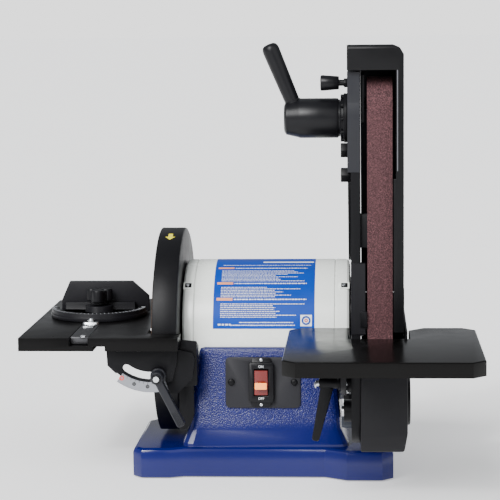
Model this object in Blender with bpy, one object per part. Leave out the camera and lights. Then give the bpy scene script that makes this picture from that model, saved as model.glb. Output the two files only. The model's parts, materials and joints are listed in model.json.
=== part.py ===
"""Combination bench sander: a one inch belt arm and an eight inch disc on one motor.

Lengths are millimetres in the machine's own frame, turned into metres as each
mesh is made.  X runs from the disc towards the belt, Y runs away from the
operator with the motor shaft at zero, and Z is up from the underside of the base.
"""

from math import atan2, cos, degrees, hypot, pi, radians, sin

import bmesh
import bpy
from mathutils import Matrix, Vector

MM = 0.001
GAP = 0.3                      # clearance between pieces that bear on each other

# Frame: the middle of the finished object's footprint, in machine coordinates
FRAME_X, FRAME_Y, FRAME_Z = -126.4, -105.0, -1.5

# Motor and wheels
SHAFT_Z = 144.7
SHAFT_R = 8.0
MOTOR_R = 79.0
MOTOR_LEFT, MOTOR_RIGHT = -200.8, -16.0
DRIVE_R = 62.0
IDLER_R = 26.0
IDLER_Y = -182.5
LOW_IDLER_Z = 90.0
BELT_LOOP = 1067.0             # a 42 inch belt
BELT_WIDE = 25.4
BELT_X = 15.0
BELT_GAP = 0.4
BELT_THICK = 1.0

# Disc
DISC_R = 101.6
DISC_FACE_X = -230.4
GUARD_R = 115.0
GUARD_FLAT_Z = 39.0  # the guard's drum is closed flat at the bottom
GUARD_LEFT, GUARD_RIGHT = -228.4, -201.3

# Base
BASE_LEFT, BASE_RIGHT = -252.5, 30.0
BASE_FRONT, BASE_BACK = -104.0, 66.0
PLATE_TOP = 31.5
PEDESTAL_FOOT_Z, PEDESTAL_TOP_Z = 51.0, 138.0
PEDESTAL_FOOT = (-192.0, -92.0, -26.0, 56.0)
PEDESTAL_TOP = (-181.5, -85.0, -33.0, 50.0)
WALL = 5.0
SWITCH_OFFSET = (-1.6, 0.0, 0.6)

# Disc table, its tilt axis along Y
DT_PIVOT_X, DT_PIVOT_Z = -228.5, 160.0
DT_LEFT, DT_EDGE, DT_TAB = -366.8, -233.2, -197.0
DT_FRONT, DT_BACK = -147.0, 132.0
DT_TOP = 159.3
DT_DEEP = 14.0
MITER_X, MITER_WIDE, MITER_DEEP = -302.5, 20.4, 8.6
MITER_PIVOT_Y = 8.0

# Belt table, its tilt axis along X
BT_PIVOT_Y, BT_PIVOT_Z = -210.0, 170.0
BT_LEFT, BT_RIGHT = -79.0, 114.0
BT_FRONT, BT_BACK = -342.0, -145.0
BT_TOP = 170.3
BT_THICK = 15.0
SLOT_LEFT, SLOT_RIGHT, SLOT_FRONT = -16.5, 44.6, -212.4

# Arm and covers
ARM_LEFT, ARM_RIGHT = -14.0, -5.0
COVER_RIGHT = 38.8
LOW_COVER_RIGHT = 42.8
COVER_FRONT = -218.0
COVER_SPLIT_Z = 177.5
CAP_TOP_Z, CAP_LOW_Z = 464.7, 440.0
HOUSING_TOP_Z = 133.0
HUB_Y, HUB_Z, HUB_R = -175.0, 391.0, 20.2
DUST_PORT = (-139.0, 72.0)

FINE, MEDIUM, COARSE = 40, 24, 12

BLACK = (0.012, 0.012, 0.013)
SATIN = (0.03, 0.031, 0.034)
SLATE = (0.06, 0.065, 0.075)
BLUE = (0.03, 0.06, 0.33)
CREAM = (0.75, 0.78, 0.75)
STEEL = (0.55, 0.56, 0.57)
GRIT = (0.17, 0.055, 0.055)
RUBBER = (0.01, 0.01, 0.01)
RED = (0.25, 0.02, 0.015)
COPPER = (0.45, 0.2, 0.08)

FRAME = None


# ---------------------------------------------------------------- scene helpers

def clear_scene():
    """Remove everything that the session opened with."""
    for obj in list(bpy.data.objects):
        bpy.data.objects.remove(obj, do_unlink=True)


def new_frame():
    """The parent that carries machine coordinates into the object's own frame."""
    frame = bpy.data.objects.new("machine_frame", None)
    frame.location = (-FRAME_X * MM, -FRAME_Y * MM, -FRAME_Z * MM)
    bpy.context.scene.collection.objects.link(frame)
    return frame


def place(mesh_bm, name, pivot=(0.0, 0.0, 0.0)):
    """Turn a mesh in millimetres into an object whose origin is at the pivot."""
    bmesh.ops.translate(mesh_bm, vec=-Vector(pivot), verts=mesh_bm.verts)
    bmesh.ops.scale(mesh_bm, vec=(MM, MM, MM), verts=mesh_bm.verts)
    bmesh.ops.recalc_face_normals(mesh_bm, faces=mesh_bm.faces)
    mesh = bpy.data.meshes.new(name)
    mesh_bm.to_mesh(mesh)
    mesh_bm.free()
    obj = bpy.data.objects.new(name, mesh)
    obj.location = Vector(pivot) * MM
    obj.parent = FRAME
    bpy.context.scene.collection.objects.link(obj)
    return obj


def helper(obj):
    """Keep an operand out of the render and out of the parts."""
    obj.hide_render = True
    obj.display_type = "WIRE"
    return obj


def boolean(obj, other, operation):
    """Apply one exact Boolean with the other object as its operand."""
    modifier = obj.modifiers.new(f"{operation.lower()}_{other.name}", "BOOLEAN")
    modifier.operation = operation
    modifier.solver = "EXACT"
    modifier.object = helper(other)
    return obj


def cut(obj, *cutters):
    """Take each cutter away from the object."""
    for cutter in cutters:
        boolean(obj, cutter, "DIFFERENCE")
    return obj


def join(obj, *pieces):
    """Make the object one body with each piece."""
    for piece in pieces:
        boolean(obj, piece, "UNION")
    return obj


def finish(obj, colour, roughness=0.5, metallic=0.0):
    """Give the object its own plain material."""
    material = bpy.data.materials.new(f"{obj.name}_finish")
    material.use_nodes = True
    shader = material.node_tree.nodes["Principled BSDF"]
    shader.inputs["Base Color"].default_value = (*colour, 1.0)
    shader.inputs["Roughness"].default_value = roughness
    shader.inputs["Metallic"].default_value = metallic
    obj.data.materials.clear()
    obj.data.materials.append(material)
    return obj


# ---------------------------------------------------------------- shape helpers

def on_axis(axis, along, a, b):
    """A point from its distance along an axis and its two other coordinates."""
    return {"X": (along, a, b), "Y": (a, along, b), "Z": (a, b, along)}[axis]


def loft(name, sections, axis="Z", pivot=(0.0, 0.0, 0.0)):
    """A closed skin over equal-length outlines, each given as (along, points)."""
    bm = bmesh.new()
    rings = []
    for along, points in sections:
        rings.append([bm.verts.new(on_axis(axis, along, a, b)) for a, b in points])
    count = len(rings[0])
    for low, high in zip(rings, rings[1:]):
        for i in range(count):
            j = (i + 1) % count
            bm.faces.new((low[i], low[j], high[j], high[i]))
    bm.faces.new(rings[0])
    bm.faces.new(rings[-1])
    return place(bm, name, pivot)


def prism(name, outline, axis, low, high, pivot=(0.0, 0.0, 0.0)):
    """A straight extrusion of one outline."""
    return loft(name, [(low, outline), (high, outline)], axis, pivot)


def box(name, x, y, z, pivot=(0.0, 0.0, 0.0)):
    """A box from its three ranges."""
    return prism(name, rectangle(x[0], y[0], x[1], y[1]), "Z", z[0], z[1], pivot)


def lathe(name, profile, axis, centre, steps=MEDIUM, pivot=(0.0, 0.0, 0.0), phase=0.0):
    """Revolve (radius, along) points; a profile off the axis closes into a ring."""
    bm = bmesh.new()
    rings = []
    for radius, along in profile:
        if radius <= 1e-9:
            rings.append([bm.verts.new(on_axis(axis, along, *centre))])
            continue
        ring = []
        for i in range(steps):
            turn = 2 * pi * i / steps + phase
            a = centre[0] + radius * cos(turn)
            b = centre[1] + radius * sin(turn)
            ring.append(bm.verts.new(on_axis(axis, along, a, b)))
        rings.append(ring)
    pairs = list(zip(rings, rings[1:]))
    if len(rings[0]) > 1 and len(rings[-1]) > 1:
        pairs.append((rings[-1], rings[0]))
    for low, high in pairs:
        for i in range(steps):
            j = (i + 1) % steps
            if len(low) == 1:
                bm.faces.new((low[0], high[j], high[i]))
            elif len(high) == 1:
                bm.faces.new((low[i], low[j], high[0]))
            else:
                bm.faces.new((low[i], low[j], high[j], high[i]))
    return place(bm, name, pivot)


def rod(name, axis, centre, radius, low, high, steps=MEDIUM, pivot=(0.0, 0.0, 0.0), edge=0.0):
    """A solid cylinder, with its two edges chamfered when an edge is given."""
    profile = [(0, low)]
    if edge:
        profile += [(radius - edge, low), (radius, low + edge)]
        profile += [(radius, high - edge), (radius - edge, high)]
    else:
        profile += [(radius, low), (radius, high)]
    return lathe(name, profile + [(0, high)], axis, centre, steps, pivot)


def tube(name, axis, centre, outer, inner, low, high, steps=MEDIUM, pivot=(0.0, 0.0, 0.0)):
    """A plain ring of rectangular section."""
    profile = [(inner, low), (outer, low), (outer, high), (inner, high)]
    return lathe(name, profile, axis, centre, steps, pivot)


def rectangle(a0, b0, a1, b1, chamfer=0.0):
    """A rectangle's corners, each cut at 45 degrees when a chamfer is given."""
    if not chamfer:
        return [(a0, b0), (a1, b0), (a1, b1), (a0, b1)]
    c = chamfer
    return [(a0 + c, b0), (a1 - c, b0), (a1, b0 + c), (a1, b1 - c),
            (a1 - c, b1), (a0 + c, b1), (a0, b1 - c), (a0, b0 + c)]


def rounded(a0, b0, a1, b1, radius, steps=4):
    """A rectangle with round corners."""
    points = []
    corners = ((a1 - radius, b1 - radius, 0), (a0 + radius, b1 - radius, 90),
               (a0 + radius, b0 + radius, 180), (a1 - radius, b0 + radius, 270))
    for a, b, start in corners:
        for i in range(steps + 1):
            turn = radians(start + 90 * i / steps)
            points.append((a + radius * cos(turn), b + radius * sin(turn)))
    return points


def inset(outline, distance):
    """Move each side of an outline inwards, keeping mitred corners."""
    area = sum(a[0] * b[1] - b[0] * a[1] for a, b in zip(outline, outline[1:] + outline[:1]))
    side = 1.0 if area > 0 else -1.0
    moved = []
    count = len(outline)
    for i in range(count):
        before = Vector(outline[i]) - Vector(outline[i - 1])
        after = Vector(outline[(i + 1) % count]) - Vector(outline[i])
        n0 = Vector((-before.y, before.x)).normalized() * side
        n1 = Vector((-after.y, after.x)).normalized() * side
        miter = n0 + n1
        moved.append(tuple(Vector(outline[i]) + miter * (2 * distance / miter.length_squared)))
    return moved


def arc(centre, radius, start, end, steps):
    """Points on an arc, angles in degrees from the first axis."""
    turns = [radians(start + (end - start) * i / steps) for i in range(steps + 1)]
    return [(centre[0] + radius * cos(t), centre[1] + radius * sin(t)) for t in turns]


def sector(centre, inner, outer, start, end, steps):
    """The outline of a piece of a flat ring."""
    return arc(centre, outer, start, end, steps) + arc(centre, inner, end, start, steps)


def arc_slot(centre, radius, width, start, end, steps=8):
    """The outline of a slot with round ends that follows an arc."""
    half = width / 2
    first = (centre[0] + radius * cos(radians(start)), centre[1] + radius * sin(radians(start)))
    last = (centre[0] + radius * cos(radians(end)), centre[1] + radius * sin(radians(end)))
    outline = arc(centre, radius + half, start, end, steps)
    outline += arc(last, half, end, end + 180, 6)[1:-1]
    outline += arc(centre, radius - half, end, start, steps)
    outline += arc(first, half, start + 180, start + 360, 6)[1:-1]
    return outline


def hull(points):
    """The convex outline round a set of points."""
    points = sorted(set((round(a, 6), round(b, 6)) for a, b in points))
    halves = []
    for ordered in (points, points[::-1]):
        half = []
        for p in ordered:
            while len(half) > 1 and ((half[-1][0] - half[-2][0]) * (p[1] - half[-2][1])
                                     - (half[-1][1] - half[-2][1]) * (p[0] - half[-2][0])) <= 1e-9:
                half.pop()
            half.append(p)
        halves += half[:-1]
    return halves


def circle(centre, radius, steps=FINE):
    """Evenly spaced points on a circle."""
    return arc(centre, radius, 0, 360, steps)[:-1]


def wheel_path(top_z, offset, steps=FINE):
    """The outline of the belt's path at a distance outside the three wheels."""
    return hull(circle((IDLER_Y, top_z), IDLER_R + offset, steps)
                + circle((IDLER_Y, LOW_IDLER_Z), IDLER_R + offset, steps)
                + circle((0.0, SHAFT_Z), DRIVE_R + offset, steps))


def perimeter(outline):
    """The length round an outline."""
    return sum(hypot(b[0] - a[0], b[1] - a[1]) for a, b in zip(outline, outline[1:] + outline[:1]))


def top_idler_height():
    """The top idler's height at which the belt's middle line is as long as its loop."""
    low, high = 350.0, 460.0
    for _ in range(40):
        middle = (low + high) / 2
        if perimeter(wheel_path(middle, BELT_GAP + BELT_THICK / 2, 360)) < BELT_LOOP:
            low = middle
        else:
            high = middle
    return round(low, 2)


TOP_IDLER_Z = top_idler_height()


# ------------------------------------------------------------------------- base

def base_outline():
    """The foot of the casting: two proud front feet and cut corners."""
    left, right, front, back = BASE_LEFT, BASE_RIGHT, BASE_FRONT, BASE_BACK
    return [(left, front + 4), (left + 10, front - 6), (left + 40, front - 6), (left + 56, front),
            (right - 74, front), (right - 50, front - 14), (right - 12, front - 14),
            (right, front - 3), (right, back - 30), (right - 30, back),
            (left + 32, back), (left, back - 32)]


def rectangle_ring(bounds, corner, grow=0.0):
    """A round-cornered section of the pedestal."""
    x0, y0, x1, y1 = bounds
    return rounded(x0 - grow, y0 - grow, x1 + grow, y1 + grow, corner, 3)


def build_base():
    """The cast base with its pedestal, cover, feet and cord gland."""
    foot = base_outline()
    base = loft("base_casting", [(0.0, foot), (PLATE_TOP - 5.5, foot), (PLATE_TOP - 1.7, inset(foot, 1.5)),
                                 (PLATE_TOP, inset(foot, 4.6))])
    spread = (PEDESTAL_FOOT[0] - 7, PEDESTAL_FOOT[1] - 7, PEDESTAL_FOOT[2] + 8, PEDESTAL_FOOT[3] + 5)
    pedestal = loft("pedestal", [
        (PLATE_TOP - 8.0, rectangle_ring(spread, 12)),
        (PLATE_TOP + 3.0, rectangle_ring(spread, 12)),
        (PEDESTAL_FOOT_Z, rectangle_ring(PEDESTAL_FOOT, 10)),
        (PEDESTAL_TOP_Z - 5.0, rectangle_ring(PEDESTAL_TOP, 10)),
        (PEDESTAL_TOP_Z - 1.5, rectangle_ring(PEDESTAL_TOP, 8.6, -1.4)),
        (PEDESTAL_TOP_Z, rectangle_ring(PEDESTAL_TOP, 6, -4.5))])
    join(base, pedestal)
    hollow = prism("base_hollow", inset(foot, 6.0), "Z", -1.0, PLATE_TOP - WALL)
    shaft = loft("pedestal_hollow", [
        (PLATE_TOP - WALL - 1.0, rectangle_ring(PEDESTAL_FOOT, 8, -WALL)),
        (PEDESTAL_FOOT_Z, rectangle_ring(PEDESTAL_FOOT, 8, -WALL)),
        (PEDESTAL_TOP_Z - 6.0, rectangle_ring(PEDESTAL_TOP, 8, -WALL))])
    saddle = rod("saddle", "X", (0.0, SHAFT_Z), MOTOR_R + 0.4, MOTOR_LEFT - 20, -10.0, FINE)
    well = lean_on_face(box("switch_well", (-11.5, 11.5), (-12.0, 12.0), (-21.0, 21.0)), SWITCH_OFFSET)
    gland_hole = rod("gland_hole", "Y", (-60.0, 62.0), 7.0, 40.0, 70.0, COARSE)
    cut(base, hollow, shaft, saddle, well, gland_hole)
    finish(base, BLUE, 0.35)

    cover = prism("bottom_cover", inset(foot, 6.5), "Z", 1.6, 3.2)
    finish(cover, SATIN, 0.6)
    places = {"front_left": (-228, -84), "front_right": (8, -84),
              "rear_left": (-205, 42), "rear_right": (-14, 42)}
    for where, centre in places.items():
        foot_pad = lathe(f"foot_{where}", [(0, FRAME_Z), (10.5, FRAME_Z), (12, 0.0), (12, 1.3), (0, 1.3)],
                         "Z", centre, MEDIUM)
        finish(foot_pad, RUBBER, 0.9)

    gland = lathe("cord_gland", [(3.2, 44.0), (6.4, 44.0), (6.4, 57.0), (9.5, 57.0),
                                 (9.5, 60.0), (7.0, 66.0), (3.2, 66.0)], "Y", (-60.0, 62.0), COARSE)
    finish(gland, BLACK, 0.6)


def switch_lean():
    """The pedestal's front face leans back; this is its turn about X."""
    run = PEDESTAL_TOP[1] - PEDESTAL_FOOT[1]
    rise = PEDESTAL_TOP_Z - 5.0 - PEDESTAL_FOOT_Z
    return -atan2(run, rise)


def switch_centre():
    """The middle of the switch plate, on the pedestal's front face."""
    z = 100.6
    share = (z - PEDESTAL_FOOT_Z) / (PEDESTAL_TOP_Z - 5.0 - PEDESTAL_FOOT_Z)
    return (-110.8, PEDESTAL_FOOT[1] + share * (PEDESTAL_TOP[1] - PEDESTAL_FOOT[1]), z)


def lean_on_face(obj, offset=(0.0, 0.0, 0.0)):
    """Stand a piece, made about its own origin, on the leaning face."""
    turn = Matrix.Rotation(switch_lean(), 4, "X")
    obj.location = (Vector(switch_centre()) + turn @ Vector(offset)) * MM
    obj.rotation_euler.x = switch_lean()
    return obj


def build_switch():
    """The switch plate with its rocker switch and two screws."""
    plate = prism("switch_plate", rounded(-40.7, -27.6, 40.7, 27.6, 5.0), "Y", -2.4, -GAP)
    window = box("plate_window", (-11.4, 11.4), (-4.0, 2.0), (-20.8, 20.8))
    cut(plate, lean_on_face(window, SWITCH_OFFSET))
    finish(lean_on_face(plate), SLATE, 0.45)

    body = box("switch_body", (-10.8, 10.8), (-3.2, 9.0), (-20.2, 20.2))
    bezel = prism("switch_bezel", rectangle(-13.6, -21.5, 13.6, 21.5, 2.0), "Y", -9.0, -2.7)
    tabs = prism("switch_tabs", rectangle(-10.5, -26.6, 10.5, 26.6, 1.0), "Y", -5.0, -2.7)
    well = box("rocker_well", (-7.9, 7.9), (-12.0, -2.0), (-14.6, 14.6))
    for piece in (body, bezel, tabs, well):
        lean_on_face(piece, SWITCH_OFFSET)
    join(body, bezel, tabs)
    cut(body, well)
    finish(body, BLACK, 0.35)

    face = [(-13.4, -10.6), (0.0, -9.2), (13.4, -12.2), (13.4, -7.0), (6.0, -4.2), (-6.0, -4.2), (-13.4, -7.0)]
    rocker = prism("switch_rocker", [(y + 6.0, z) for z, y in face], "X", -7.2, 7.2)
    lean_on_face(rocker, (SWITCH_OFFSET[0], -6.0, SWITCH_OFFSET[2]))
    finish(rocker, RED, 0.25)

    for side, x in (("left", -34.2), ("right", 34.2)):
        screw = lathe(f"plate_screw_{side}", [(0, -4.4), (2.6, -4.4), (3.6, -3.6), (3.6, -2.7), (0, -2.7)],
                      "Y", (0.0, 0.0), COARSE)
        finish(lean_on_face(screw, (x, 0.0, 0.4)), BLACK, 0.4, 0.6)


# ------------------------------------------------------------------------ motor

def build_motor():
    """The motor's tube, end caps, stator, turning shaft and bearings."""
    axis = (0.0, SHAFT_Z)
    left, right = MOTOR_LEFT, MOTOR_RIGHT
    housing = tube("motor_housing", "X", axis, MOTOR_R, MOTOR_R - 3.0, left + 14.0, right - 17.0, FINE)
    finish(housing, CREAM, 0.3)
    for side, outer, inner in (("left", left, left + 13.7), ("right", right, right - 16.7)):
        into = 1.0 if inner > outer else -1.0
        profile = [(SHAFT_R + 9.3, outer), (MOTOR_R - 2.0, outer), (MOTOR_R, outer + 2.0 * into),
                   (MOTOR_R, inner), (MOTOR_R - 5.0, inner), (MOTOR_R - 5.0, outer + 5.0 * into),
                   (26.0, outer + 5.0 * into), (26.0, outer + 13.0 * into), (SHAFT_R + 9.3, outer + 13.0 * into)]
        cap = lathe(f"motor_end_cap_{side}", profile, "X", axis, FINE)
        finish(cap, CREAM, 0.3)
        bearing = tube(f"bearing_{side}", "X", axis, SHAFT_R + 9.0, SHAFT_R + GAP,
                       *sorted((outer + 2.0 * into, outer + 12.0 * into)), MEDIUM)
        finish(bearing, STEEL, 0.25, 1.0)
    stator = tube("stator", "X", axis, MOTOR_R - 3.4, 44.5, -158.0, -64.0, FINE)
    finish(stator, COPPER, 0.5, 0.5)
    rotor = lathe("motor_rotor", [(0, -226.0), (SHAFT_R - 1, -226.0), (SHAFT_R, -225.0), (SHAFT_R, -150.0),
                                  (43.8, -150.0), (43.8, -72.0), (SHAFT_R, -72.0), (SHAFT_R, 26.0),
                                  (SHAFT_R - 1, 27.0), (0, 27.0)], "X", axis, MEDIUM, (-110.0, *axis))
    finish(rotor, STEEL, 0.3, 1.0)


# -------------------------------------------------------------------- disc side

def build_disc():
    """The disc, its abrasive and the guard round it."""
    axis = (0.0, SHAFT_Z)
    pivot = (DISC_FACE_X, *axis)
    back = DISC_FACE_X + 1.2
    bore = SHAFT_R + GAP
    plate = lathe("disc_plate", [(0, back), (DISC_R, back), (DISC_R, back + 7.5), (22.0, back + 9.0),
                                 (22.0, back + 22.0), (bore, back + 22.0), (bore, back + 3.0), (0, back + 3.0)],
                  "X", axis, FINE, pivot)
    finish(plate, STEEL, 0.4, 1.0)
    grit = rod("abrasive_disc", "X", axis, DISC_R, DISC_FACE_X - 0.1, back - GAP, FINE, pivot)
    finish(grit, GRIT, 0.9)

    hole = 27.0
    guard = lathe("disc_guard", [(hole, GUARD_RIGHT - 3.0), (GUARD_R - 3.5, GUARD_RIGHT - 3.0),
                                 (GUARD_R - 3.5, GUARD_LEFT), (GUARD_R - 0.8, GUARD_LEFT),
                                 (GUARD_R, GUARD_LEFT + 0.8), (GUARD_R, GUARD_RIGHT - 1.0),
                                 (GUARD_R - 1.0, GUARD_RIGHT), (hole, GUARD_RIGHT)], "X", axis, FINE)
    port_axis = (-214.8, 78.0)
    port = rod("guard_port", "Y", port_axis, 12.6, 80.0, DT_BACK, MEDIUM)
    bore_cut = rod("guard_port_bore", "Y", port_axis, 10.2, 70.0, DT_BACK + 5, MEDIUM)
    inside = lathe("guard_inside", [(0, GUARD_RIGHT - 3.2), (GUARD_R - 3.7, GUARD_RIGHT - 3.2),
                                    (GUARD_R - 3.7, GUARD_LEFT - 9), (0, GUARD_LEFT - 9)], "X", axis, FINE)
    cut(port, inside)
    join(guard, port)
    cut(guard, bore_cut, box("guard_below", (-260, -170), (-130, 130), (0.0, GUARD_FLAT_Z)))
    join(guard, box("guard_floor", (GUARD_LEFT, GUARD_RIGHT), (-44.5, 44.5), (GUARD_FLAT_Z, GUARD_FLAT_Z + 2.6)))
    finish(guard, SATIN, 0.5)


def bracket_outline():
    """The fixed plate that carries a lock stud, in X and Z."""
    return [(-227.6, 100.0), (-221.0, 95.0), (-200.0, 95.0), (-184.0, 112.0), (-181.5, 132.0),
            (-184.0, 139.0), (-201.0, 143.0), (-222.0, 143.0), (-227.6, 138.0)]


def build_disc_brackets():
    """The fixed plates outside the guard, each with a web back to the motor side."""
    for side, sign in (("front", -1.0), ("rear", 1.0)):
        near, far = sorted((sign * 116.4, sign * 121.2))
        plate = prism(f"guard_bracket_{side}", bracket_outline(), "Y", near, far)
        web_outline = [(sign * 116.6, 153.0), (sign * 91.5, 143.0), (sign * 91.5, 116.0), (sign * 116.6, 100.0)]
        web = loft(f"web_{side}", [(-200.9, web_outline), (-180.0, inset(web_outline, 1.5))], "X")
        join(plate, web)
        if side == "front":
            join(plate, prism("skirt", [(-200.9, 104.0), (-185.0, 114.0), (-185.0, 68.0), (-188.0, 58.0),
                                        (-193.0, 52.0), (-200.9, 50.0)], "Y", -101.0, -97.0))
        finish(plate, SATIN, 0.45)


def stud_place():
    """Where the disc table's lock studs stand, in X and Z."""
    return (-220.2, 115.8)


def trunnion_outline():
    """The hanging plate under the disc table, in X and Z, about its tilt axis."""
    centre = (DT_PIVOT_X, DT_PIVOT_Z)
    outline = [(-276.0, DT_TOP - DT_DEEP + 1.0), (-275.0, 126.0), (-266.0, 117.5)]
    outline += arc(centre, 55.5, 229.0, 295.0, 10)
    outline += [(-200.5, 128.0), (-199.5, DT_TOP - DT_DEEP + 1.0)]
    return outline


def build_disc_table():
    """The tilting table with its slot, trunnions, scale and locks."""
    pivot = (DT_PIVOT_X, 0.0, DT_PIVOT_Z)
    low = DT_TOP - DT_DEEP
    outline = [(DT_LEFT, DT_FRONT), (DT_TAB, DT_FRONT), (DT_TAB, -117.6), (DT_EDGE, -117.6),
               (DT_EDGE, 117.6), (DT_TAB, 117.6), (DT_TAB, DT_BACK), (DT_LEFT + 12, DT_BACK),
               (DT_LEFT, DT_BACK - 12)]
    table = prism("disc_table", outline, "Z", low, DT_TOP, pivot)
    # The underside is hollowed between the rim and the slot's own channel.
    pockets = [box("pocket_left", (DT_LEFT + 5, -318.0), (DT_FRONT + 5, DT_BACK - 14), (low - 1, DT_TOP - 5)),
               box("pocket_right", (-287.0, -258.0), (DT_FRONT + 5, DT_BACK - 14), (low - 1, DT_TOP - 5))]
    slot = box("miter_slot", (MITER_X - MITER_WIDE / 2, MITER_X + MITER_WIDE / 2),
               (DT_FRONT - 5, DT_BACK + 5), (DT_TOP - MITER_DEEP, DT_TOP + 5))
    # The edge beside the disc is cut away so that it clears the disc when tilted.
    land = DT_TOP - 0.65
    relief = prism("edge_relief", [(DT_EDGE + 5, land), (DT_PIVOT_X - 3.4 + land - DT_PIVOT_Z, land),
                                   (DT_PIVOT_X - 3.4 + low - 3.0 - DT_PIVOT_Z, low - 3.0), (DT_EDGE + 5, low - 3.0)],
                   "Y", -117.7, 117.7)
    notch = box("front_notch", (-287.0, -274.5), (DT_FRONT - 2, DT_FRONT + 12), (low - 2, low + 5))
    cut(table, *pockets, slot, relief, notch)
    finish(table, BLACK, 0.35)

    stud_x, stud_z = stud_place()
    radius = hypot(stud_x - DT_PIVOT_X, stud_z - DT_PIVOT_Z)
    rest = degrees(atan2(stud_z - DT_PIVOT_Z, stud_x - DT_PIVOT_X))
    for side, sign in (("front", -1.0), ("rear", 1.0)):
        near, far = sorted((sign * 122.0, sign * 126.5))
        plate = prism(f"disc_trunnion_{side}", [(x, min(z, low - GAP)) for x, z in trunnion_outline()],
                      "Y", near, far, pivot)
        slot_cut = prism(f"tilt_slot_{side}", arc_slot((DT_PIVOT_X, DT_PIVOT_Z), radius, 8.4, rest - 46, rest + 3),
                         "Y", near - 2, far + 2, pivot)
        cut(plate, slot_cut)
        finish(plate, SATIN, 0.45)
    scale = prism("tilt_scale", sector((DT_PIVOT_X, DT_PIVOT_Z), 50.0, 63.0, 234.0, 288.0, 12),
                  "Y", -128.0, -126.8, pivot)
    finish(scale, STEEL, 0.3, 0.8)

    stud = lathe("lock_stud_front", [(0, -151.0), (3.2, -151.0), (3.2, -116.0 - GAP), (0, -116.0 - GAP)],
                 "Y", stud_place(), COARSE)
    bore = rod("stud_bore_front", "Y", stud_place(), 3.6, -124.0, -110.0, COARSE)
    cut(bpy.data.objects["guard_bracket_front"], bore)
    finish(stud, STEEL, 0.3, 1.0)
    rear = lathe("lock_stud_rear", [(0, 116.3), (3.2, 116.3), (3.2, 126.8), (7.5, 126.8), (7.5, 131.5), (0, 131.5)],
                 "Y", stud_place(), COARSE)
    rear_bore = rod("stud_bore_rear", "Y", stud_place(), 3.6, 110.0, 124.0, COARSE)
    cut(bpy.data.objects["guard_bracket_rear"], rear_bore)
    finish(rear, STEEL, 0.3, 1.0)
    lock_lever("disc_lock_lever", "Y", stud_place(), (-146.5, -128.4), 58.0, 26.8)


def lock_lever(name, axis, centre, span, reach, lean):
    """A clamping lever: a bored hub and a tapered arm, at a lean from straight down."""
    low, high = span
    middle = centre
    pivot = on_axis(axis, (low + high) / 2, *middle)
    hub = lathe(name, [(3.6, low), (5.6, low), (6.8, low + 1.2), (6.8, high - 4.0), (8.4, high - 3.0),
                       (8.4, high), (3.6, high)], axis, middle, MEDIUM, pivot)
    side = radians(lean)
    down, across = Vector((sin(side), -cos(side))), Vector((cos(side), sin(side)))
    start, end = 5.2, reach
    outline = [down * start - across * 4.2, down * start + across * 4.2,
               down * (end - 2) + across * 4.6, down * end + across * 2.6,
               down * end - across * 2.6, down * (end - 2) - across * 4.6]
    points = [(middle[0] + p.x, middle[1] + p.y) for p in outline]
    arm = loft(f"{name}_arm", [(low + 0.6, inset(points, 0.8)), (low + 1.6, points), (low + 7.0, points),
                               (low + 8.0, inset(points, 0.8))], axis, pivot)
    join(hub, arm)
    finish(hub, SATIN, 0.4)
    return hub


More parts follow.
